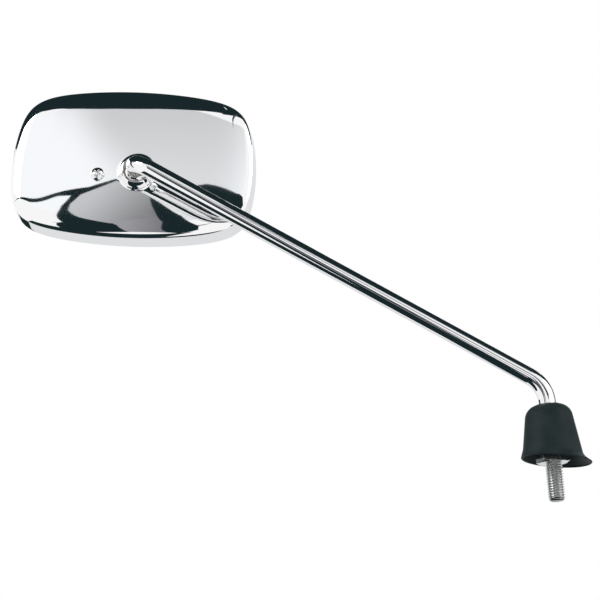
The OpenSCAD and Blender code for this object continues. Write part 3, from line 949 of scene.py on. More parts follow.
@dataclass
class Glass:
    """The convex mirror glass, the rubber gasket round it and the foam pad behind it.

    The bead at the gasket's front has points that are given by a distance in from the
    gasket's inside, a fall from its top and the share in which they follow the glass.
    """

    form: HeadForm
    place: HeadPlace
    thick: float = 2.0
    radius: float = 1400.0
    gap: float = 0.1
    edge_inset: float = 1.9
    edge_round: float = 0.5
    gasket_wall: float = 0.8
    gasket_out: float = 1.0
    gasket_in: float = 4.5
    gasket_top: float = 15.0
    gasket_bevel: float = 0.3
    lip_bevel: float = 0.2
    bead: tuple[Triple, ...] = ((1.4, 0.0, 0.0), (0.7, 0.05, 0.15), (0.2, 0.35, 0.5))
    bead_tip: float = 0.06
    pad_low: float = 7.56
    pad_inset: float = 8.1
    pad_round: float = 1.2
    pad_gap: float = 0.15
    columns: int = 320
    pad_columns: int = 200

    @property
    def front(self) -> float:
        """Front of the glass at its middle: the lip's inside less the gasket, and the sag.

        Returns:
            The place along the head.
        """
        form = self.form
        under_lip = form.depth - form.sheet - self.gasket_wall - 2 * self.gap
        return under_lip + float(self.sag(np.array([0.0, form.height / 2])))

    @property
    def gasket_low(self) -> float:
        """The gasket's low face, one wall of it behind the glass's farthest corner."""
        corner = np.array([self.form.width / 2, self.form.height / 2])
        return self.front - self.thick - float(self.sag(corner)) - self.gasket_wall

    def sag(self, flat: np.ndarray) -> np.ndarray:
        """How far the curve has fallen at places: R - sqrt(R^2 - x^2 - z^2).

        Args:
            flat: Array of shape (..., 2) of x and z.

        Returns:
            Array of shape (...).
        """
        return self.radius - np.sqrt(self.radius**2 - flat[..., 0] ** 2 - flat[..., 1] ** 2)

    def pane(self) -> bpy.types.Object:
        """Make the glass: front face, rounded edge and back face, as rings of the outline.

        Returns:
            The pane.
        """
        turns = self.form.turns(self.columns)
        rings: list[np.ndarray] = []
        shares = np.sin(np.linspace(0.02, 1, 26) * np.pi / 2)
        rim = self.form.ring(turns, self.edge_inset + self.edge_round)
        for s in shares:
            rings.append(ring_3d(rim * s, self.front - self.sag(rim * s)))
        half = self.thick / 2
        for inset, y in arc((self.edge_round, 0), self.edge_round, 90, 270, 9)[1:-1]:
            flat = self.form.ring(turns, self.edge_inset + inset)
            level = self.front - half - self.sag(flat)
            rings.append(ring_3d(flat, level + y * half / self.edge_round))
        for s in shares[::-1]:
            rings.append(ring_3d(rim * s, self.front - self.thick - self.sag(rim * s)))
        rows = self.place.to_frame(np.stack(rings), self.form.ball)
        pane = lattice_mesh("mirror_pane", rows, Close.CAPS)
        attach(pane, "head")
        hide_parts("mirror_glass")
        return pane

    def gasket(self) -> bpy.types.Object:
        """Make the gasket: a U section, with a round front bead, carried round the outline.

        Each point of the section is a distance in from the outline and a place along the
        head, and those that touch the glass fall with its curve.

        Returns:
            The gasket.
        """
        turns = self.form.turns(self.columns)
        out, inner, top, low = self.gasket_out, self.gasket_in, self.gasket_top, self.gasket_low
        front, back = self.front + self.gap, self.front - self.thick - self.gap
        slot, bevel = self.edge_inset - self.gap, self.gasket_bevel
        section = [(out, low, 0.0), (out, top - bevel, 0.0), (out + bevel, top, 0.0)]
        section += [(inner - aside, top - fall, follows) for aside, fall, follows in self.bead]
        section += [
            (inner, front + self.bead_tip, 1.0), (inner - self.gap, front, 1.0),
            (slot, front, 1.0), (slot, back, 1.0), (inner - self.lip_bevel, back, 1.0),
            (inner, back - bevel, 1.0), (inner, low + bevel, 0.0), (inner - bevel, low, 0.0),
        ]
        rings = []
        for inset, y, follows in section:
            flat = self.form.ring(turns, inset)
            rings.append(ring_3d(flat, y - follows * self.sag(flat)))
        rows = self.place.to_frame(np.stack(rings), self.form.ball)
        gasket = lattice_mesh("gasket_ring", rows, Close.LOOP)
        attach(gasket, "head")
        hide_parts("glass_gasket")
        return gasket

    def pad(self) -> bpy.types.Object:
        """Make the foam pad behind the glass: a crowned slab with soft edges.

        Returns:
            The pad.
        """
        turns = self.form.turns(self.pad_columns)
        low, inset, soft = self.pad_low, self.pad_inset, self.pad_round
        top = self.front - self.thick - self.pad_gap
        rim = self.form.ring(turns, inset + soft)
        shares = np.linspace(0.05, 1, 14)
        rings = [ring_3d(rim * s, np.full(len(rim), low)) for s in shares]
        for u in np.linspace(0.1, 0.9, 7):
            flat = self.form.ring(turns, inset + soft * (1 - np.sin(u * np.pi)))
            rings.append(ring_3d(flat, low + u * (top - self.sag(flat) - low)))
        rings += [ring_3d(rim * s, top - self.sag(rim * s)) for s in shares[::-1]]
        rows = self.place.to_frame(np.stack(rings), self.form.ball)
        pad = lattice_mesh("foam_pad", rows, Close.CAPS)
        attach(pad, "head")
        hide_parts("backing_pad")
        return pad


@dataclass
class ClampScrew:
    """The cross-head pan screw in the shell's back."""

    form: HeadForm
    place: HeadPlace
    at_x: float = -18.9
    at_z: float = -8.2
    head_d: float = 8.0
    head_h: float = 2.9
    edge_h: float = 0.6
    shank_d: float = 4.0
    length: float = 10.0
    recess_w: float = 0.9
    recess_l: float = 4.5
    recess_depth: float = 1.7
    recess_fade: float = 0.28
    cross_turn: float = 30.0
    edge_bevel: tuple[float, float] = (0.02, 0.14)
    edge_round: float = 0.3
    seat_gap: float = 0.1
    seat_round: float = 0.12
    shank_round: float = 0.1
    point: float = 0.4
    middle: float = 0.05
    columns: int = 144
    rings: int = 60

    def head_height(self, r: np.ndarray, around: np.ndarray) -> np.ndarray:
        """Height of the head over its seat.

        The crown is a sphere's cap, and the cross recess takes away a depth that fades in
        over a short way from its edges: the larger of the fades of its two bars.

        Args:
            r: Distances from the axis.
            around: Angles about it.

        Returns:
            The heights.
        """
        top_r = self.head_d / 2
        rise = self.head_h - self.edge_h
        ball_r = (top_r**2 + rise**2) / (2 * rise)
        crown = self.head_h - ball_r + np.sqrt(np.maximum(ball_r**2 - r**2, 0))
        a = around + np.radians(self.cross_turn)
        u, v = np.abs(r * np.cos(a)), np.abs(r * np.sin(a))
        fade = self.recess_fade
        long, wide = self.recess_l / 2, self.recess_w / 2
        bar_u = smooth_step((long - u) / fade) * smooth_step((wide - v) / fade + 0.5)
        bar_v = smooth_step((long - v) / fade) * smooth_step((wide - u) / fade + 0.5)
        return crown - self.recess_depth * np.maximum(bar_u, bar_v)

    def build(self) -> bpy.types.Object:
        """Make the screw as one closed surface of rings about its axis.

        Returns:
            The screw.
        """
        around = full_turn(self.columns)[None, :]
        head, shank, low = self.head_d / 2, self.shank_d / 2, self.seat_round
        r_top = np.linspace(self.middle, head - low, self.rings)[:, None]
        top = np.broadcast_arrays(r_top, self.head_height(r_top, around))
        sides = np.array([
            [head - self.edge_bevel[0], self.edge_h - self.edge_bevel[1]],
            [head, self.edge_h - self.edge_round], [head, low], [head - low, 0.0],
            [shank + self.shank_round, 0.0], [shank, -self.shank_round],
            [shank, self.point - self.length], [shank - self.point, -self.length],
        ])
        r = np.vstack([top[0], np.repeat(sides[:, :1], self.columns, 1)])
        h = np.vstack([top[1], np.repeat(sides[:, 1:], self.columns, 1)])
        back = float(self.form.back_y(np.array([self.at_x]), np.array([self.at_z]))[0])
        x, z = self.at_x + r * np.cos(around), self.at_z + r * np.sin(around)
        rows = np.stack([x, back - self.seat_gap - h, z], -1)
        screw = lattice_mesh("pan_screw", self.place.to_frame(rows, self.form.ball), Close.CAPS)
        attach(screw, "head")
        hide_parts("clamp_screw")
        return screw


@dataclass
class Stem:
    """The bent rod with its headed ball, and the thread that is rolled on its foot.

    The thread's depth and its flats at root and crest are shares of its pitch and of its
    wave's height, and its flank is the part of a smooth step between the two given shares.
    The ball's first and last rings are set by the blend angle and the end angle, in radians.
    """

    place: HeadPlace
    rod: float = 5.0
    foot_bend: float = 20.0
    neck_bend: float = 11.0
    bend_rows: tuple[int, int] = (40, 48)
    straight_rows: int = 23
    neck_rows: int = 20
    ball: float = 8.5
    ball_rows: int = 44
    blend: float = 0.5
    collar_back: float = 0.15
    collar_rise: float = 0.06
    blend_angle: float = 0.06
    end_angle: float = 0.03
    thread_top: float = 14.0
    stud: float = 22.0
    chamfer: float = 1.3
    pitch: float = 1.5
    thread_depth: float = 0.613
    root: float = 0.25
    crest: float = 0.125
    flank: tuple[float, float] = (0.1, 0.9)
    rows_per_turn: int = 14
    point_step: float = 0.02
    columns: int = 96

    def path(self) -> tuple[np.ndarray, np.ndarray, np.ndarray]:
        """The rod's middle line from the thread's top to the ball, with a frame carried along.

        Straights are runs of points, and each bend is an arc: centre + r (k x d) turned about
        the bend's axis k. The frame's side vector is turned about the same axis.

        Returns:
            Points, tangents and side vectors, each of shape (n, 3).
        """
        foot, along, inward = np.array([0.0, 0.0, 1.0]), self.place.along, self.place.inward
        corner_a, corner_b = self.place.corners
        points, tangents, sides = [], [], []
        at, side = np.array([0, 0, self.thread_top]), np.array([1.0, 0.0, 0.0])
        before, after = self.straight_rows, self.neck_rows
        for corner, d_in, d_out, r, rows in (
            (corner_a, foot, along, self.foot_bend, self.bend_rows[0]),
            (corner_b, along, inward, self.neck_bend, self.bend_rows[1]),
        ):
            axis = unit(np.cross(d_in, d_out))
            angle = np.arccos(np.dot(d_in, d_out))
            reach = r * np.tan(angle / 2)
            start = corner - d_in * reach
            run = np.linspace(0, 1, before, endpoint=False)[:, None]
            points.append(at + (start - at) * run)
            tangents.append(np.repeat(d_in[None], before, 0))
            sides.append(np.repeat(side[None], before, 0))
            a = np.linspace(0, angle, rows)[:-1]
            middle = start + np.cross(axis, d_in) * r
            points.append(middle + turned(start - middle, axis, a))
            tangents.append(turned(d_in, axis, a))
            sides.append(turned(side, axis, a))
            side = turned(side, axis, np.array([angle]))[0]
            at = corner + d_out * reach
        run = np.linspace(0, 1, after)[:, None]
        points.append(at + (self.place.ball_at - at) * run)
        tangents.append(np.repeat(inward[None], after, 0))
        sides.append(np.repeat(side[None], after, 0))
        return np.vstack(points), np.vstack(tangents), np.vstack(sides)

    def rod_skin(self) -> bpy.types.Object:
        """Make the chromed rod and its ball as one tube whose end swells into the ball.

        The rod meets the ball's surface at sqrt(ball^2 - rod^2) from its middle, and a ring
        a little before that softens the corner between them.

        Returns:
            The rod.
        """
        points, tangents, sides = self.path()
        ball_at, inward, side = points[-1], tangents[-1], sides[-1]
        meet = np.sqrt(self.ball**2 - self.rod**2)
        before = np.linalg.norm(points - ball_at, axis=1) > meet + self.blend
        points, tangents, sides = points[before], tangents[before], sides[before]
        radii = np.full(len(points), self.rod)
        start = np.arcsin(self.rod / self.ball) + self.blend_angle
        a = np.linspace(start, np.pi - self.end_angle, self.ball_rows)
        along = np.concatenate([[-meet - self.collar_back], -self.ball * np.cos(a)])
        radius = np.concatenate([[self.rod + self.collar_rise], self.ball * np.sin(a)])
        points = np.vstack([points, ball_at + along[:, None] * inward])
        tangents = np.vstack([tangents, np.repeat(inward[None], len(along), 0)])
        sides = np.vstack([sides, np.repeat(side[None], len(along), 0)])
        radii = np.concatenate([radii, radius])
        return self._tube("stem_rod", points, tangents, sides, radii[:, None])

    def _tube(
        self, name: str, points: np.ndarray, tangents: np.ndarray, sides: np.ndarray,
        radii: np.ndarray,
    ) -> bpy.types.Object:
        """Carry a circle along a line: point + r (side cos a + (tangent x side) sin a).

        Args:
            name: Name of the piece.
            points: The line, of shape (n, 3).
            tangents: Its directions.
            sides: Its side vectors.
            radii: The circle's radius at each point, of shape (n, 1).

        Returns:
            The tube.
        """
        a = full_turn(self.columns)[None, :, None]
        across = np.cross(tangents, sides)
        circle = sides[:, None] * np.cos(a) + across[:, None] * np.sin(a)
        return lattice_mesh(name, points[:, None] + radii[..., None] * circle, Close.CAPS)

    def thread_radius(self, z: np.ndarray, around: np.ndarray) -> np.ndarray:
        """Radius of the rolled thread.

        The helix's phase is u = z / pitch - angle / (2 pi), kept between 0 and 1. A wave
        t = 1 - |2 u - 1| is cut off at an eighth of the crest and a quarter of the root. The
        chamfer takes the point down to a cone, and the thread fades out at its top.

        Args:
            z: Heights, of shape (rows, 1).
            around: Angles, of shape (1, columns).

        Returns:
            Radii of shape (rows, columns).
        """
        depth = self.thread_depth * self.pitch
        u = np.mod(z / self.pitch - around / TAU, 1)
        t = 1 - np.abs(2 * u - 1)
        share = np.clip((t - self.root) / (1 - self.root - self.crest), 0, 1)
        cut = smooth_step(self.flank[0] + (self.flank[1] - self.flank[0]) * share)
        fade = smooth_step((self.thread_top - z) / (2 * self.pitch))
        radius = self.rod - depth * (1 - cut) * fade
        cone = self.rod - self.chamfer + (z + self.stud)
        return np.minimum(radius, cone)

    def thread_skin(self) -> bpy.types.Object:
        """Make the threaded foot of the stem, from its chamfered point to the thread's end.

        Returns:
            The thread.
        """
        step = self.pitch / self.rows_per_turn
        z = np.arange(-self.stud + self.point_step, self.thread_top, step)
        z = np.concatenate([[-self.stud], z, [self.thread_top]])
        a = full_turn(self.columns)[None, :]
        rows = revolved(self.thread_radius(z[:, None], a), z[:, None], a)
        return lattice_mesh("stud_thread", rows, Close.CAPS)

    def build(self) -> list[bpy.types.Object]:
        """Make both skins of the stem.

        Returns:
            The rod and the thread.
        """
        rod, thread = self.rod_skin(), self.thread_skin()
        for piece in (rod, thread):
            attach(piece, "stem")
            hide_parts("stem")
        return [rod, thread]


@dataclass
class Boot:
    """The rubber bell over the lock nut, about the stud's axis, which flares to a slanted rim.

    The side leans in by the flare's angle, and the crown falls from the hole by its own.
    """

    top: float = 34.0
    hole: float = 5.12
    side_z: float = 2.2
    side_r: float = 17.75
    flare: float = 9.2
    shoulder: float = 8.0
    crown: float = 20.0
    wall: float = 1.8
    rim_z: float = 1.35
    slant: float = 8.6
    rim_r: float = 20.2
    rim_shift: float = 2.0
    rim_wall: float = 1.3
    flare_h: float = 6.2
    flare_power: float = 2.2
    hole_grip: float = 0.1
    shoulder_rows: int = 24
    side_rows: int = 8
    flare_rows: int = 22
    edge_rows: int = 12
    columns: int = 240

    def line(self, inset: float) -> np.ndarray:
        """The bell's section above the straight side: land, crown and round shoulder.

        The shoulder's middle lies one radius inside the side's line and the crown's line,
        and both lines are given by a normal and a distance from the origin.

        Args:
            inset: Distance in from the outer face.

        Returns:
            Array of shape (n, 2) of radius and height, from the top down to the side.
        """
        f, c = np.radians([self.flare, self.crown])
        side, crown = np.array([np.cos(f), np.sin(f)]), np.array([np.sin(c), np.cos(c)])
        land = self.hole - self.hole_grip + self.wall
        reach = np.array([
            np.dot([self.side_r, self.side_z], side), np.dot([land, self.top], crown)])
        middle = np.linalg.solve(np.array([side, crown]), reach - self.shoulder)
        start, end = np.degrees([np.arctan2(crown[1], crown[0]), np.arctan2(side[1], side[0])])
        radius = self.shoulder - inset
        bend = arc((middle[0], middle[1]), radius, start, end, self.shoulder_rows)
        land_z = self.top - inset / np.cos(c)
        return np.vstack([[self.hole, land_z], [land, land_z], bend])

    def rim(self, around: np.ndarray) -> tuple[np.ndarray, np.ndarray]:
        """Radius and height of the rim's edge at angles about the stud's axis.

        The edge is a circle of radius R moved by d along X, so that it lies at
        d cos(a) + sqrt(R^2 - d^2 sin^2(a)), and its height falls with x by the slant.

        Args:
            around: The angles.

        Returns:
            The radii and the heights.
        """
        c, s = np.cos(around), np.sin(around)
        r = self.rim_shift * c + np.sqrt(self.rim_r**2 - (self.rim_shift * s) ** 2)
        return r, self.rim_z - r * c * np.tan(np.radians(self.slant))

    def side(self, around: np.ndarray, from_z: float, inner: bool) -> np.ndarray:
        """Rings from the shoulder down the straight side and out along the flare.

        Below the flare's start the radius goes from the side's line to the rim's edge as a
        power of the share s of the way down, and the wall thins from the bell's to the rim's
        with s.

        Args:
            around: Angles of the columns.
            from_z: Height at which the side begins.
            inner: Whether these are the rings of the inner face.

        Returns:
            Array of shape (rings, columns, 3).
        """
        edge_r, edge_z = self.rim(around)
        low = edge_z + self.rim_wall / 2
        start = low + self.flare_h
        down = np.linspace(0, 1, self.side_rows + 2)[1:-1, None]
        out = np.linspace(0, 1, self.flare_rows)[:, None]
        z = np.vstack([from_z + (start - from_z) * down, start + (low - start) * out])
        share = np.vstack([np.zeros_like(down), out])
        grown = share**self.flare_power
        r = (self.side_r - (z - self.side_z) * np.tan(np.radians(self.flare))) * (1 - grown)
        r = r + edge_r * grown
        if inner:
            r = r - self.wall - (self.rim_wall - self.wall) * share
        return revolved(r, z, around)

    def edge(self, around: np.ndarray) -> np.ndarray:
        """Rings of the rim's rounded edge: a half circle from the outer to the inner face.

        Args:
            around: Angles of the columns.

        Returns:
            Array of shape (rings, columns, 3).
        """
        edge_r, edge_z = self.rim(around)
        half = self.rim_wall / 2
        turn = np.radians(np.linspace(0, -180, self.edge_rows + 2))[1:-1, None]
        r = edge_r - half + half * np.cos(turn)
        z = edge_z + half + half * np.sin(turn)
        return revolved(r, z, around)

    def build(self) -> bpy.types.Object:
        """Make the bell as one closed surface: outside, edge, inside and hole.

        Returns:
            The bell.
        """
        around = full_turn(self.columns)
        outside, inside = self.line(0.0), self.line(self.wall)
        rows = np.vstack([
            revolved(outside[:, :1], outside[:, 1:], around),
            self.side(around, float(outside[-1, 1]), False),
            self.edge(around),
            self.side(around, float(inside[-1, 1]), True)[::-1],
            revolved(inside[:, :1], inside[:, 1:], around)[::-1],
        ])
        bell = lattice_mesh("rubber_bell", rows, Close.LOOP)
        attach(bell, "stem")
        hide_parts("boot")
        return bell


BLACK: Triple = (0.011, 0.022, 0.025)


@dataclass(frozen=True)
class Sight:
    """The chrome back as the camera sees it, which tells what each place on it reflects.

    The back's normal n is (dy/dx, -1, dy/dz) at unit length, and a line of sight f leaves
    the chrome along f - 2 (n . f) n.
    """

    form: HeadForm
    place: HeadPlace
    forward: np.ndarray
    step: float = 0.05

    def shown_at(self, flat: np.ndarray, distance: float) -> np.ndarray:
        """Places in the studio that the back shows at places on it.

        Args:
            flat: Array of shape (..., 2) of x and z on the back, in millimetres.
            distance: How far the places lie from the back, in metres.

        Returns:
            Array of shape (..., 3), in metres.
        """
        x, z = flat[..., 0], flat[..., 1]
        back = self.form.back_y
        slope_x = (back(x + self.step, z) - back(x - self.step, z)) / (2 * self.step)
        slope_z = (back(x, z + self.step) - back(x, z - self.step)) / (2 * self.step)
        normal = unit(np.stack([slope_x, -np.ones_like(x), slope_z], -1)) @ self.place.matrix.T
        away = self.forward - 2 * (normal @ self.forward)[..., None] * normal
        spot = self.place.to_frame(np.stack([x, back(x, z), z], -1), self.form.ball)
        return spot * MM + distance * away


def heading(azimuth: np.ndarray, elevation: np.ndarray) -> np.ndarray:
    """Directions for azimuths from the camera's side towards +X and for elevations.

    Args:
        azimuth: The azimuths, in degrees.
        elevation: The elevations.

    Returns:
        Array of shape (..., 3).
    """
    a, e = np.radians(azimuth), np.radians(elevation)
    return np.stack([np.sin(a) * np.cos(e), -np.cos(a) * np.cos(e), np.sin(e)], -1)


@dataclass(frozen=True)
class Flag:
    """A dark sheet that the chrome back shows as the given outline."""

    name: str
    distance: float
    outline: Flat
    tone: Triple = BLACK

    def hang(self, sight: Sight, paper: bpy.types.Material) -> None:
        """Make the sheet as one face round the places that the back shows.

        Args:
            sight: What the back reflects.
            paper: The material of all sheets.
        """
        corners = sight.shown_at(np.array(self.outline), self.distance)
        hang_sheet(self.name, corners, [list(range(len(corners)))], np.array([self.tone]), paper)


@dataclass(frozen=True)
class Panel:
    """A dark level sheet at a height, with an outline of x and y in metres."""

    name: str
    height: float
    outline: Flat
    tone: Triple = BLACK

    def hang(self, sight: Sight, paper: bpy.types.Material) -> None:
        """Make the sheet as one face. The outline doesn't depend on the sight.

        Args:
            sight: What the back reflects; not used.
            paper: The material of all sheets.
        """
        corners = np.array([(x, y, self.height) for x, y in self.outline])
        hang_sheet(self.name, corners, [list(range(len(corners)))], np.array([self.tone]), paper)


@dataclass(frozen=True)
class Dome:
    """A patch of a sphere about a place, between two azimuths and two borders.

    Each border is given by its highest elevation, the azimuth of that, and a droop: the
    elevation at an azimuth a is highest - droop (a - middle)^2.
    """

    name: str
    centre: Triple
    radius: float
    azimuths: tuple[float, float]
    low: Triple
    high: Triple
    tone: Triple = BLACK
    columns: int = 13

    def hang(self, sight: Sight, paper: bpy.types.Material) -> None:
        """Make the patch as a net of three rows. Its place doesn't depend on the sight.

        Args:
            sight: What the back reflects; not used.
            paper: The material of all sheets.
        """
        a = np.linspace(*self.azimuths, self.columns)
        borders = (self.low, self.high)
        low, high = (top - droop * (a - middle) ** 2 for top, middle, droop in borders)
        rows = np.stack([heading(a, low + (high - low) * share) for share in (0.0, 0.5, 1.0)])
        knots = np.array(self.centre) + self.radius * rows
        hang_net(self.name, knots, np.array([self.tone]), paper)


@dataclass(frozen=True)
class Rail:
    """A long strip beside the stem, between two angles round its middle line.

    An angle of 0 points to the camera and 90 up. A reflected line also runs on along the
    stem by the cosine between the sight and the stem times its length.
    """

    name: str
    distance: float
    near_foot: tuple[float, float]
    near_head: tuple[float, float]
    tone: Triple = BLACK
    given_at: tuple[float, float] = (0.06, 0.21)
    reach: tuple[float, float] = (-0.06, 0.245)

    def hang(self, sight: Sight, paper: bpy.types.Material) -> None:
        """Make the strip as one face, drawn through the two given places to its reach.

        Args:
            sight: What the back reflects, which also knows the stem's route.
            paper: The material of all sheets.
        """
        along = sight.place.along
        up = unit(np.cross(along, -sight.forward))
        out = unit(-sight.forward + along * (sight.forward @ along))
        bend = sight.place.corners[0] * MM
        angles = np.radians(np.array([self.near_foot, self.near_head]))
        run = np.array(self.given_at)[:, None, None] + self.distance * (sight.forward @ along)
        aside = np.cos(angles)[..., None] * out + np.sin(angles)[..., None] * up
        places = bend + along * run + self.distance * aside
        slope = (places[1] - places[0]) / (self.given_at[1] - self.given_at[0])
        ends = [places[0] + slope * (at - self.given_at[0]) for at in self.reach]
        corners = np.array([ends[0][0], ends[1][0], ends[1][1], ends[0][1]])
        hang_sheet(self.name, corners, [[0, 1, 2, 3]], np.array([self.tone]), paper)


@dataclass(frozen=True)
class Gradient:
    """A tone that changes evenly over the back: middle + per_x x + per_z z, within limits."""

    middle: float
    per_x: float
    per_z: float
    limits: tuple[float, float]

    def at(self, flat: np.ndarray) -> np.ndarray:
        """Tones at places on the back.

        Args:
            flat: Array of shape (..., 2) of x and z, in millimetres.

        Returns:
            Array of shape (...).
        """
        tone = self.middle + self.per_x * flat[..., 0] + self.per_z * flat[..., 1]
        return np.clip(tone, *self.limits)


@dataclass(frozen=True)
class GreySheet:
    """A grey sheet that the back shows between a left and a right border."""

    name: str
    distance: float
    left: Flat
    right: Flat
    tone: Gradient
    tint: Triple = (1.0, 1.02, 1.05)
    columns: int = 6

    def hang(self, sight: Sight, paper: bpy.types.Material) -> None:
        """Make the sheet as a net with a tone at each knot.

        Args:
            sight: What the back reflects.
            paper: The material of all sheets.
        """
        share = np.linspace(0, 1, self.columns)[None, :, None]
        left, right = np.array(self.left)[:, None], np.array(self.right)[:, None]
        flat = left + (right - left) * share
        tones = self.tone.at(flat)[..., None] * self.tint
        hang_net(self.name, sight.shown_at(flat, self.distance), tones, paper)


@dataclass(frozen=True)
class SoftScreen:
    """The wide screen that most of the back shows, lit from the left.

    The dim tone is level - fall z. The light fades out across a line that leans, at
    x = fade_x - lean z, and a faint second light comes in from the right.
    """

    name: str = "soft_screen"
    distance: float = 4.0
    wide: float = 0.95
    high: float = 0.8
    drawn_in: float = 0.2
    level: float = 0.73
    fall: float = 0.003
    fade_x: float = -15.0
    lean: float = 0.8
    fade: float = 40.0
    second: float = 0.2
    second_x: tuple[float, float] = (35.0, 67.0)
    tint: Triple = (1.0, 1.02, 1.04)
    knots: tuple[int, int] = (21, 13)

    def hang(self, sight: Sight, paper: bpy.types.Material) -> None:
        """Make the screen as a net with a tone at each knot.

        Args:
            sight: What the back reflects.
            paper: The material of all sheets.
        """
        i, j = np.meshgrid(np.linspace(-1, 1, self.knots[0]), np.linspace(-1, 1, self.knots[1]))
        flat = sight.form.bulged(self.wide * i, self.high * j * (1 - self.drawn_in * i**4))
        x, z = flat[..., 0], flat[..., 1]
        dim = self.level - self.fall * z
        lit = smooth_step((self.fade_x - self.lean * z - x) / self.fade + 0.5)
        start, end = self.second_x
        from_right = self.second * np.clip((x - start) / (end - start), 0, 1) ** 3
        light = dim + (1 - dim) * lit + from_right
        tones = np.minimum(light, 1.0)[..., None] * self.tint
        hang_net(self.name, sight.shown_at(flat, self.distance), tones, paper)


def hang_net(name: str, knots: np.ndarray, tones: np.ndarray, paper: bpy.types.Material) -> None:
    """Hang a sheet made of rows of knots.

    Args:
        name: Name of the sheet.
        knots: Array of shape (rows, columns, 3), in metres.
        tones: Linear colours of the same shape, or a single one.
        paper: The material of all sheets.
    """
    high, wide = knots.shape[:2]
    low = (np.arange(high - 1)[:, None] * wide + np.arange(wide - 1)).ravel()
    quads = np.stack([low, low + 1, low + wide + 1, low + wide], -1)
    hang_sheet(name, knots.reshape(-1, 3), quads.tolist(), tones.reshape(-1, 3), paper)


def hang_sheet(
    name: str, points: np.ndarray, faces: list[list[int]], tones: np.ndarray,
    paper: bpy.types.Material,
) -> None:
    """Put a sheet into the studio that only reflections see, with a tone at each point.

    Args:
        name: Name of the sheet.
        points: Array of shape (n, 3), in metres.
        faces: Point numbers of each face.
        tones: Array of linear colours, one for each point or a single one.
        paper: The material of all sheets.
    """
    mesh = bpy.data.meshes.new(name)
    mesh.from_pydata(points.tolist(), [], faces)
    stored = mesh.attributes.new("tone", "FLOAT_COLOR", "POINT")
    colours = np.ones((len(points), 4), np.float32)
    colours[:, :3] = tones
    stored.data.foreach_set("color", colours.ravel())
    mesh.materials.append(paper)
    obj = bpy.data.objects.new(name, mesh)
    bpy.context.scene.collection.objects.link(obj)
    obj.visible_camera = obj.visible_diffuse = obj.visible_shadow = False
    obj.visible_transmission = False


def card_paper() -> bpy.types.Material:
    """The sheets' material, which shines with the tone stored on the sheet.

    Returns:
        The material.
    """
    material = bpy.data.materials.new("card_paper")
    material.use_nodes = True
    w = Wiring(material.node_tree)
    material.node_tree.nodes.remove(material.node_tree.nodes["Principled BSDF"])
    glow = w.node("ShaderNodeEmission")
    tone = w.node("ShaderNodeAttribute")
    tone.attribute_name = "tone"
    w.join(tone.outputs["Color"], glow.inputs["Color"])
    w.join(glow.outputs[0], material.node_tree.nodes["Material Output"].inputs["Surface"])
    return material


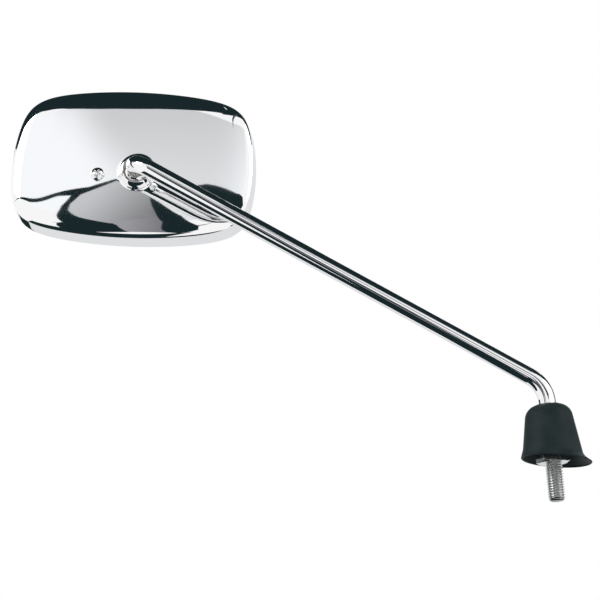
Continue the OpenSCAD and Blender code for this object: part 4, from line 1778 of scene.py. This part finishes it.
SHEETS = (
    Panel("flag_over_head", 0.55, (
        (-0.75, 0.06), (-0.62, -0.03), (-0.53, -0.13), (-0.46, -0.195), (-0.43, -0.23),
        (-0.40, -0.285), (-0.365, -0.325), (-0.32, -0.322), (-0.28, -0.328), (-0.245, -0.34),
        (-0.23, -0.335), (-0.195, -0.315), (-0.145, -0.26), (-0.105, -0.215), (-0.095, 0.08),
        (-0.06, 0.16), (0.03, 0.25), (0.05, 0.6), (0.02, 0.9), (-0.8, 0.9))),
    Panel("flag_below_head", -0.5, (
        (-0.6, -0.08), (-0.44, -0.19), (-0.2, -0.2), (0.1, -0.13), (0.2, 0.3), (-0.2, 0.5),
        (-0.6, 0.5), (-0.75, 0.1))),
    Panel("flag_below_stud", -0.07, ((-0.05, -0.11), (0.07, -0.11), (0.07, 0.07), (-0.05, 0.07))),
    Dome("flag_behind_right", (-0.15, 0.06, 0.21), 0.45, (70, 165), (24, 110, 0), (75, 110, 0)),
    Dome("flag_beside_right", (-0.15, 0.06, 0.19), 0.47, (104, 126), (-22, 115, 0), (24, 115, 0)),
    Dome("flag_behind_left", (-0.285, 0.04, 0.18), 0.45, (-170, -108), (-8, -140, 0),
         (50, -140, 0)),
    Dome("flag_by_corner", (-0.16, 0.055, 0.225), 3.0, (-4, 125), (51, 44, 0.005),
         (80, 95, 0.0035)),
    Dome("grey_behind", (-0.15, 0.05, 0.15), 2.4, (128, 232), (-46, 180, 0), (24, 180, 0),
         (0.77, 0.785, 0.80)),
    Rail("strip_by_stem_high", 2.0, (71, 60), (50, 41), (0.08, 0.09, 0.10)),
    Rail("strip_by_stem_middle", 2.0, (9, 1), (3, -8), (0.16, 0.16, 0.18)),
    Rail("flag_below_stem", 0.5, (-39, -94), (-50, -100), reach=(-0.04, 0.33)),
    Flag("flag_low_left", 0.9, (
        (-66.5, -26), (-50, -22), (-26.5, -15.5), (-8.5, -9), (0.5, -13.5), (-4, -26),
        (-2, -38.5), (1.5, -41.5), (-14.5, -42), (-32, -42), (-39, -37), (-43, -30),
        (-42.5, -28), (-37, -21.5), (-45, -22.4), (-57.5, -25.6))),
    Flag("flag_low_right", 0.66, (
        (5, -17), (10.5, -20.5), (12, -25), (14, -28.5), (19, -35), (24, -41), (29.5, -41),
        (36.5, -40), (42, -38.5), (42, -36.5), (30, -30.5), (16, -22.5))),
    Flag("flag_right", 0.8, (
        (33, -13), (38.5, -11), (43, -10), (48.5, -10.5), (55, -12), (62, -15), (66, -17.5),
        (66.5, -22), (64, -27.5), (50.5, -22.5), (38.5, -17.5))),
    GreySheet(
        "grey_cone", 0.78,
        ((-8, -10), (-21, -16), (-31, -20.5), (-37, -26.5), (-38, -30), (-31, -34), (-12, -37)),
        ((0.5, -13.5), (5, -17), (11.5, -21.5), (12, -25), (14, -28.5), (18, -33.5), (20, -36)),
        Gradient(0.55, -0.008, 0.0076, (0.2, 0.6))),
    GreySheet(
        "grey_mist", 0.70,
        ((-11.5, -36.5), (-7.5, -38), (-4, -40), (0.5, -41.5)),
        ((16, -31.5), (19, -34.5), (22, -39), (24, -41)),
        Gradient(0.33, -0.006, 0.0, (0.15, 0.36)), (1.0, 1.0, 1.06)),
    SoftScreen(),
)


@dataclass
class Mirror:
    """The whole mirror: it builds every piece and gives each its finish."""

    effects: Effects = field(default_factory=Effects)
    form: HeadForm = field(default_factory=HeadForm)
    place: HeadPlace = field(default_factory=HeadPlace)

    def dress(self, obj: bpy.types.Object, material: bpy.types.Material) -> None:
        """Give an object one material on every face.

        Args:
            obj: The piece or CAD node.
            material: Its finish.
        """
        obj.data.materials.clear()
        obj.data.materials.append(material)
        LOG.info("%s: %s, %d faces", obj.name, material.name, len(obj.data.polygons))

    def build(self, nodes: dict[str, bpy.types.Object]) -> None:
        """Build the pieces and dress them and the CAD nodes that stay.

        Args:
            nodes: The frame's CAD nodes by name.
        """
        made = {finish: finish.value.build(self.effects) for finish in Finish}
        glass = Glass(self.form, self.place)
        rod, thread = Stem(self.place).build()
        for obj, finish in (
            (Shell(self.form, self.place).build(), Finish.SHELL_CHROME),
            (glass.pane(), Finish.MIRROR_SILVER),
            (glass.gasket(), Finish.GASKET_RUBBER),
            (glass.pad(), Finish.FOAM),
            (ClampScrew(self.form, self.place).build(), Finish.SCREW_PLATE),
            (rod, Finish.ROD_CHROME),
            (thread, Finish.THREAD_ZINC),
            (Boot().build(), Finish.BOOT_RUBBER),
            (nodes["locknut"], Finish.NUT_ZINC),
            (nodes["clamp_plate"], Finish.PRESSED_ZINC),
            (nodes["clamp_nut"], Finish.DARK_STEEL),
            (nodes["lock_washer"], Finish.DARK_STEEL),
            (nodes["seat_ring"], Finish.BEARING_PLASTIC),
            (nodes["friction_cup"], Finish.BEARING_PLASTIC),
        ):
            self.dress(obj, made[finish])


def stand(
    obj: bpy.types.Object, across: np.ndarray, up: np.ndarray, back: np.ndarray, at: np.ndarray
) -> None:
    """Place a camera or a lamp, which looks away from its back.

    Args:
        obj: The camera's or the lamp's object.
        across: Direction to its right.
        up: Direction to its top.
        back: Direction behind it.
        at: Its place, in metres.
    """
    bpy.context.scene.collection.objects.link(obj)
    columns = Matrix([[*across, 0], [*up, 0], [*back, 0], [*at, 1]])
    obj.matrix_world = columns.transposed()


@dataclass(frozen=True)
class Lamp:
    """A square soft lamp, with its place and size in metres and its power in watts."""

    name: str
    place: Triple
    size: float
    watts: float

    def hang(self, aim: Triple) -> None:
        """Hang the lamp so that it looks at a place.

        Args:
            aim: The place, in metres.
        """
        data = bpy.data.lights.new(self.name, "AREA")
        data.size, data.energy = self.size, self.watts
        back = unit(np.array(self.place) - np.array(aim))
        across = unit(np.cross([0, 0, 1], back))
        obj = bpy.data.objects.new(self.name, data)
        stand(obj, across, np.cross(back, across), back, np.array(self.place))


@dataclass
class Studio:
    """Camera, floor, soft light and the sheets that the chrome reflects."""

    below: float = 11.5
    roll: float = 5.7
    scale: float = 1.7492
    origin_px: tuple[float, float] = (552.663, 462.565)
    frame_px: float = 600.0
    distance: float = 15.5
    sensor: float = 36.0
    clip: tuple[float, float] = (0.1, 100.0)
    middle: Triple = (-0.11, 0.03, 0.1)
    aim: Triple = (-0.1, 0.03, 0.1)
    lamps: tuple[Lamp, ...] = (
        Lamp("key", (-1.5, -0.7, 1.4), 1.0, 14.0),
        Lamp("fill", (1.5, -0.5, 0.9), 1.2, 6.0),
    )
    ambient: float = 0.6
    floor_z: float = -2.7
    floor_half: float = 30.0
    floor_tone: float = 0.9

    def camera(self) -> None:
        """Place a long lens so that the frame's origin falls on its place in the picture.

        The view runs up by the angle below, the picture's right and up are turned by the
        roll, and the offset of the picture's middle from the origin is divided by the scale.
        """
        e, q = np.radians([self.below, self.roll])
        forward = self.forward
        right0, up0 = np.array([1.0, 0, 0]), np.array([0, -np.sin(e), np.cos(e)])
        right = np.cos(q) * right0 - np.sin(q) * up0
        up = np.sin(q) * right0 + np.cos(q) * up0
        half_px = self.frame_px / 2
        du = (half_px - self.origin_px[0]) / self.scale * MM
        dv = (self.origin_px[1] - half_px) / self.scale * MM
        depth = float(np.dot(np.array(self.middle), forward))
        target = right * du + up * dv
        eye = target - forward * self.distance + forward * depth
        data = bpy.data.cameras.new("view")
        data.sensor_width = self.sensor
        data.lens = self.sensor * self.distance / (self.frame_px / self.scale * MM)
        data.clip_start, data.clip_end = self.clip
        cam = bpy.data.objects.new("view", data)
        stand(cam, right, up, -forward, eye)
        bpy.context.scene.camera = cam

    def world(self) -> None:
        """White all round for the camera and for reflections, and a softer white as light."""
        world = bpy.data.worlds.new("studio")
        bpy.context.scene.world = world
        world.use_nodes = True
        w = Wiring(world.node_tree)
        shade = world.node_tree.nodes["Background"]
        shade.inputs["Color"].default_value = (1, 1, 1, 1)
        rays = w.node("ShaderNodeLightPath")
        seen = w.math("MAXIMUM", rays.outputs["Is Camera Ray"], rays.outputs["Is Glossy Ray"])
        seen = w.math("MAXIMUM", seen, rays.outputs["Is Transmission Ray"])
        strength = w.math("ADD", w.math("MULTIPLY", seen, 1 - self.ambient), self.ambient)
        w.join(strength, shade.inputs["Strength"])

    def floor(self) -> None:
        """Lay a wide white floor that is seen only from above."""
        r = self.floor_half
        verts = np.array([[-r, -r, 0], [r, -r, 0], [r, r, 0], [-r, r, 0]]) + [0, 0, self.floor_z]
        obj = write_mesh("floor", verts / MM, np.array([[0, 1, 2, 3]]), np.empty((0, 3), int))
        material, w, shader = new_material("floor_white")
        shader.inputs["Base Color"].default_value = (*[self.floor_tone] * 3, 1)
        shader.inputs["Roughness"].default_value = 0.9
        glow = w.node("ShaderNodeEmission")
        clear = w.node("ShaderNodeBsdfTransparent")
        rays = w.node("ShaderNodeLightPath")
        side = w.node("ShaderNodeNewGeometry")
        seen = w.math("MAXIMUM", rays.outputs["Is Camera Ray"], rays.outputs["Is Glossy Ray"])
        white = w.node("ShaderNodeMixShader")
        w.join(seen, white.inputs[0])
        w.join(shader.outputs[0], white.inputs[1])
        w.join(glow.outputs[0], white.inputs[2])
        both = w.node("ShaderNodeMixShader")
        w.join(side.outputs["Backfacing"], both.inputs[0])
        w.join(white.outputs[0], both.inputs[1])
        w.join(clear.outputs[0], both.inputs[2])
        w.join(both.outputs[0], material.node_tree.nodes["Material Output"].inputs["Surface"])
        obj.data.materials.append(material)

    @property
    def forward(self) -> np.ndarray:
        """The camera's line of sight, which runs up by the angle below."""
        e = np.radians(self.below)
        return np.array([0, np.cos(e), np.sin(e)])

    def build(self, mirror: Mirror) -> None:
        """Set up the whole studio.

        Args:
            mirror: The mirror, for what its chrome reflects.
        """
        bpy.context.scene.view_settings.view_transform = "Standard"
        self.camera()
        self.world()
        self.floor()
        for lamp in self.lamps:
            lamp.hang(self.aim)
        paper = card_paper()
        sight = Sight(mirror.form, mirror.place, self.forward)
        for sheet in SHEETS:
            sheet.hang(sight, paper)


def main() -> None:
    """Load the frame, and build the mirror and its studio."""
    logging.basicConfig(level=logging.INFO, format="%(name)s: %(message)s")
    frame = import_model()
    mirror = Mirror()
    mirror.build(frame["nodes"])
    Studio().build(mirror)


if __name__ == "__main__":
    main()
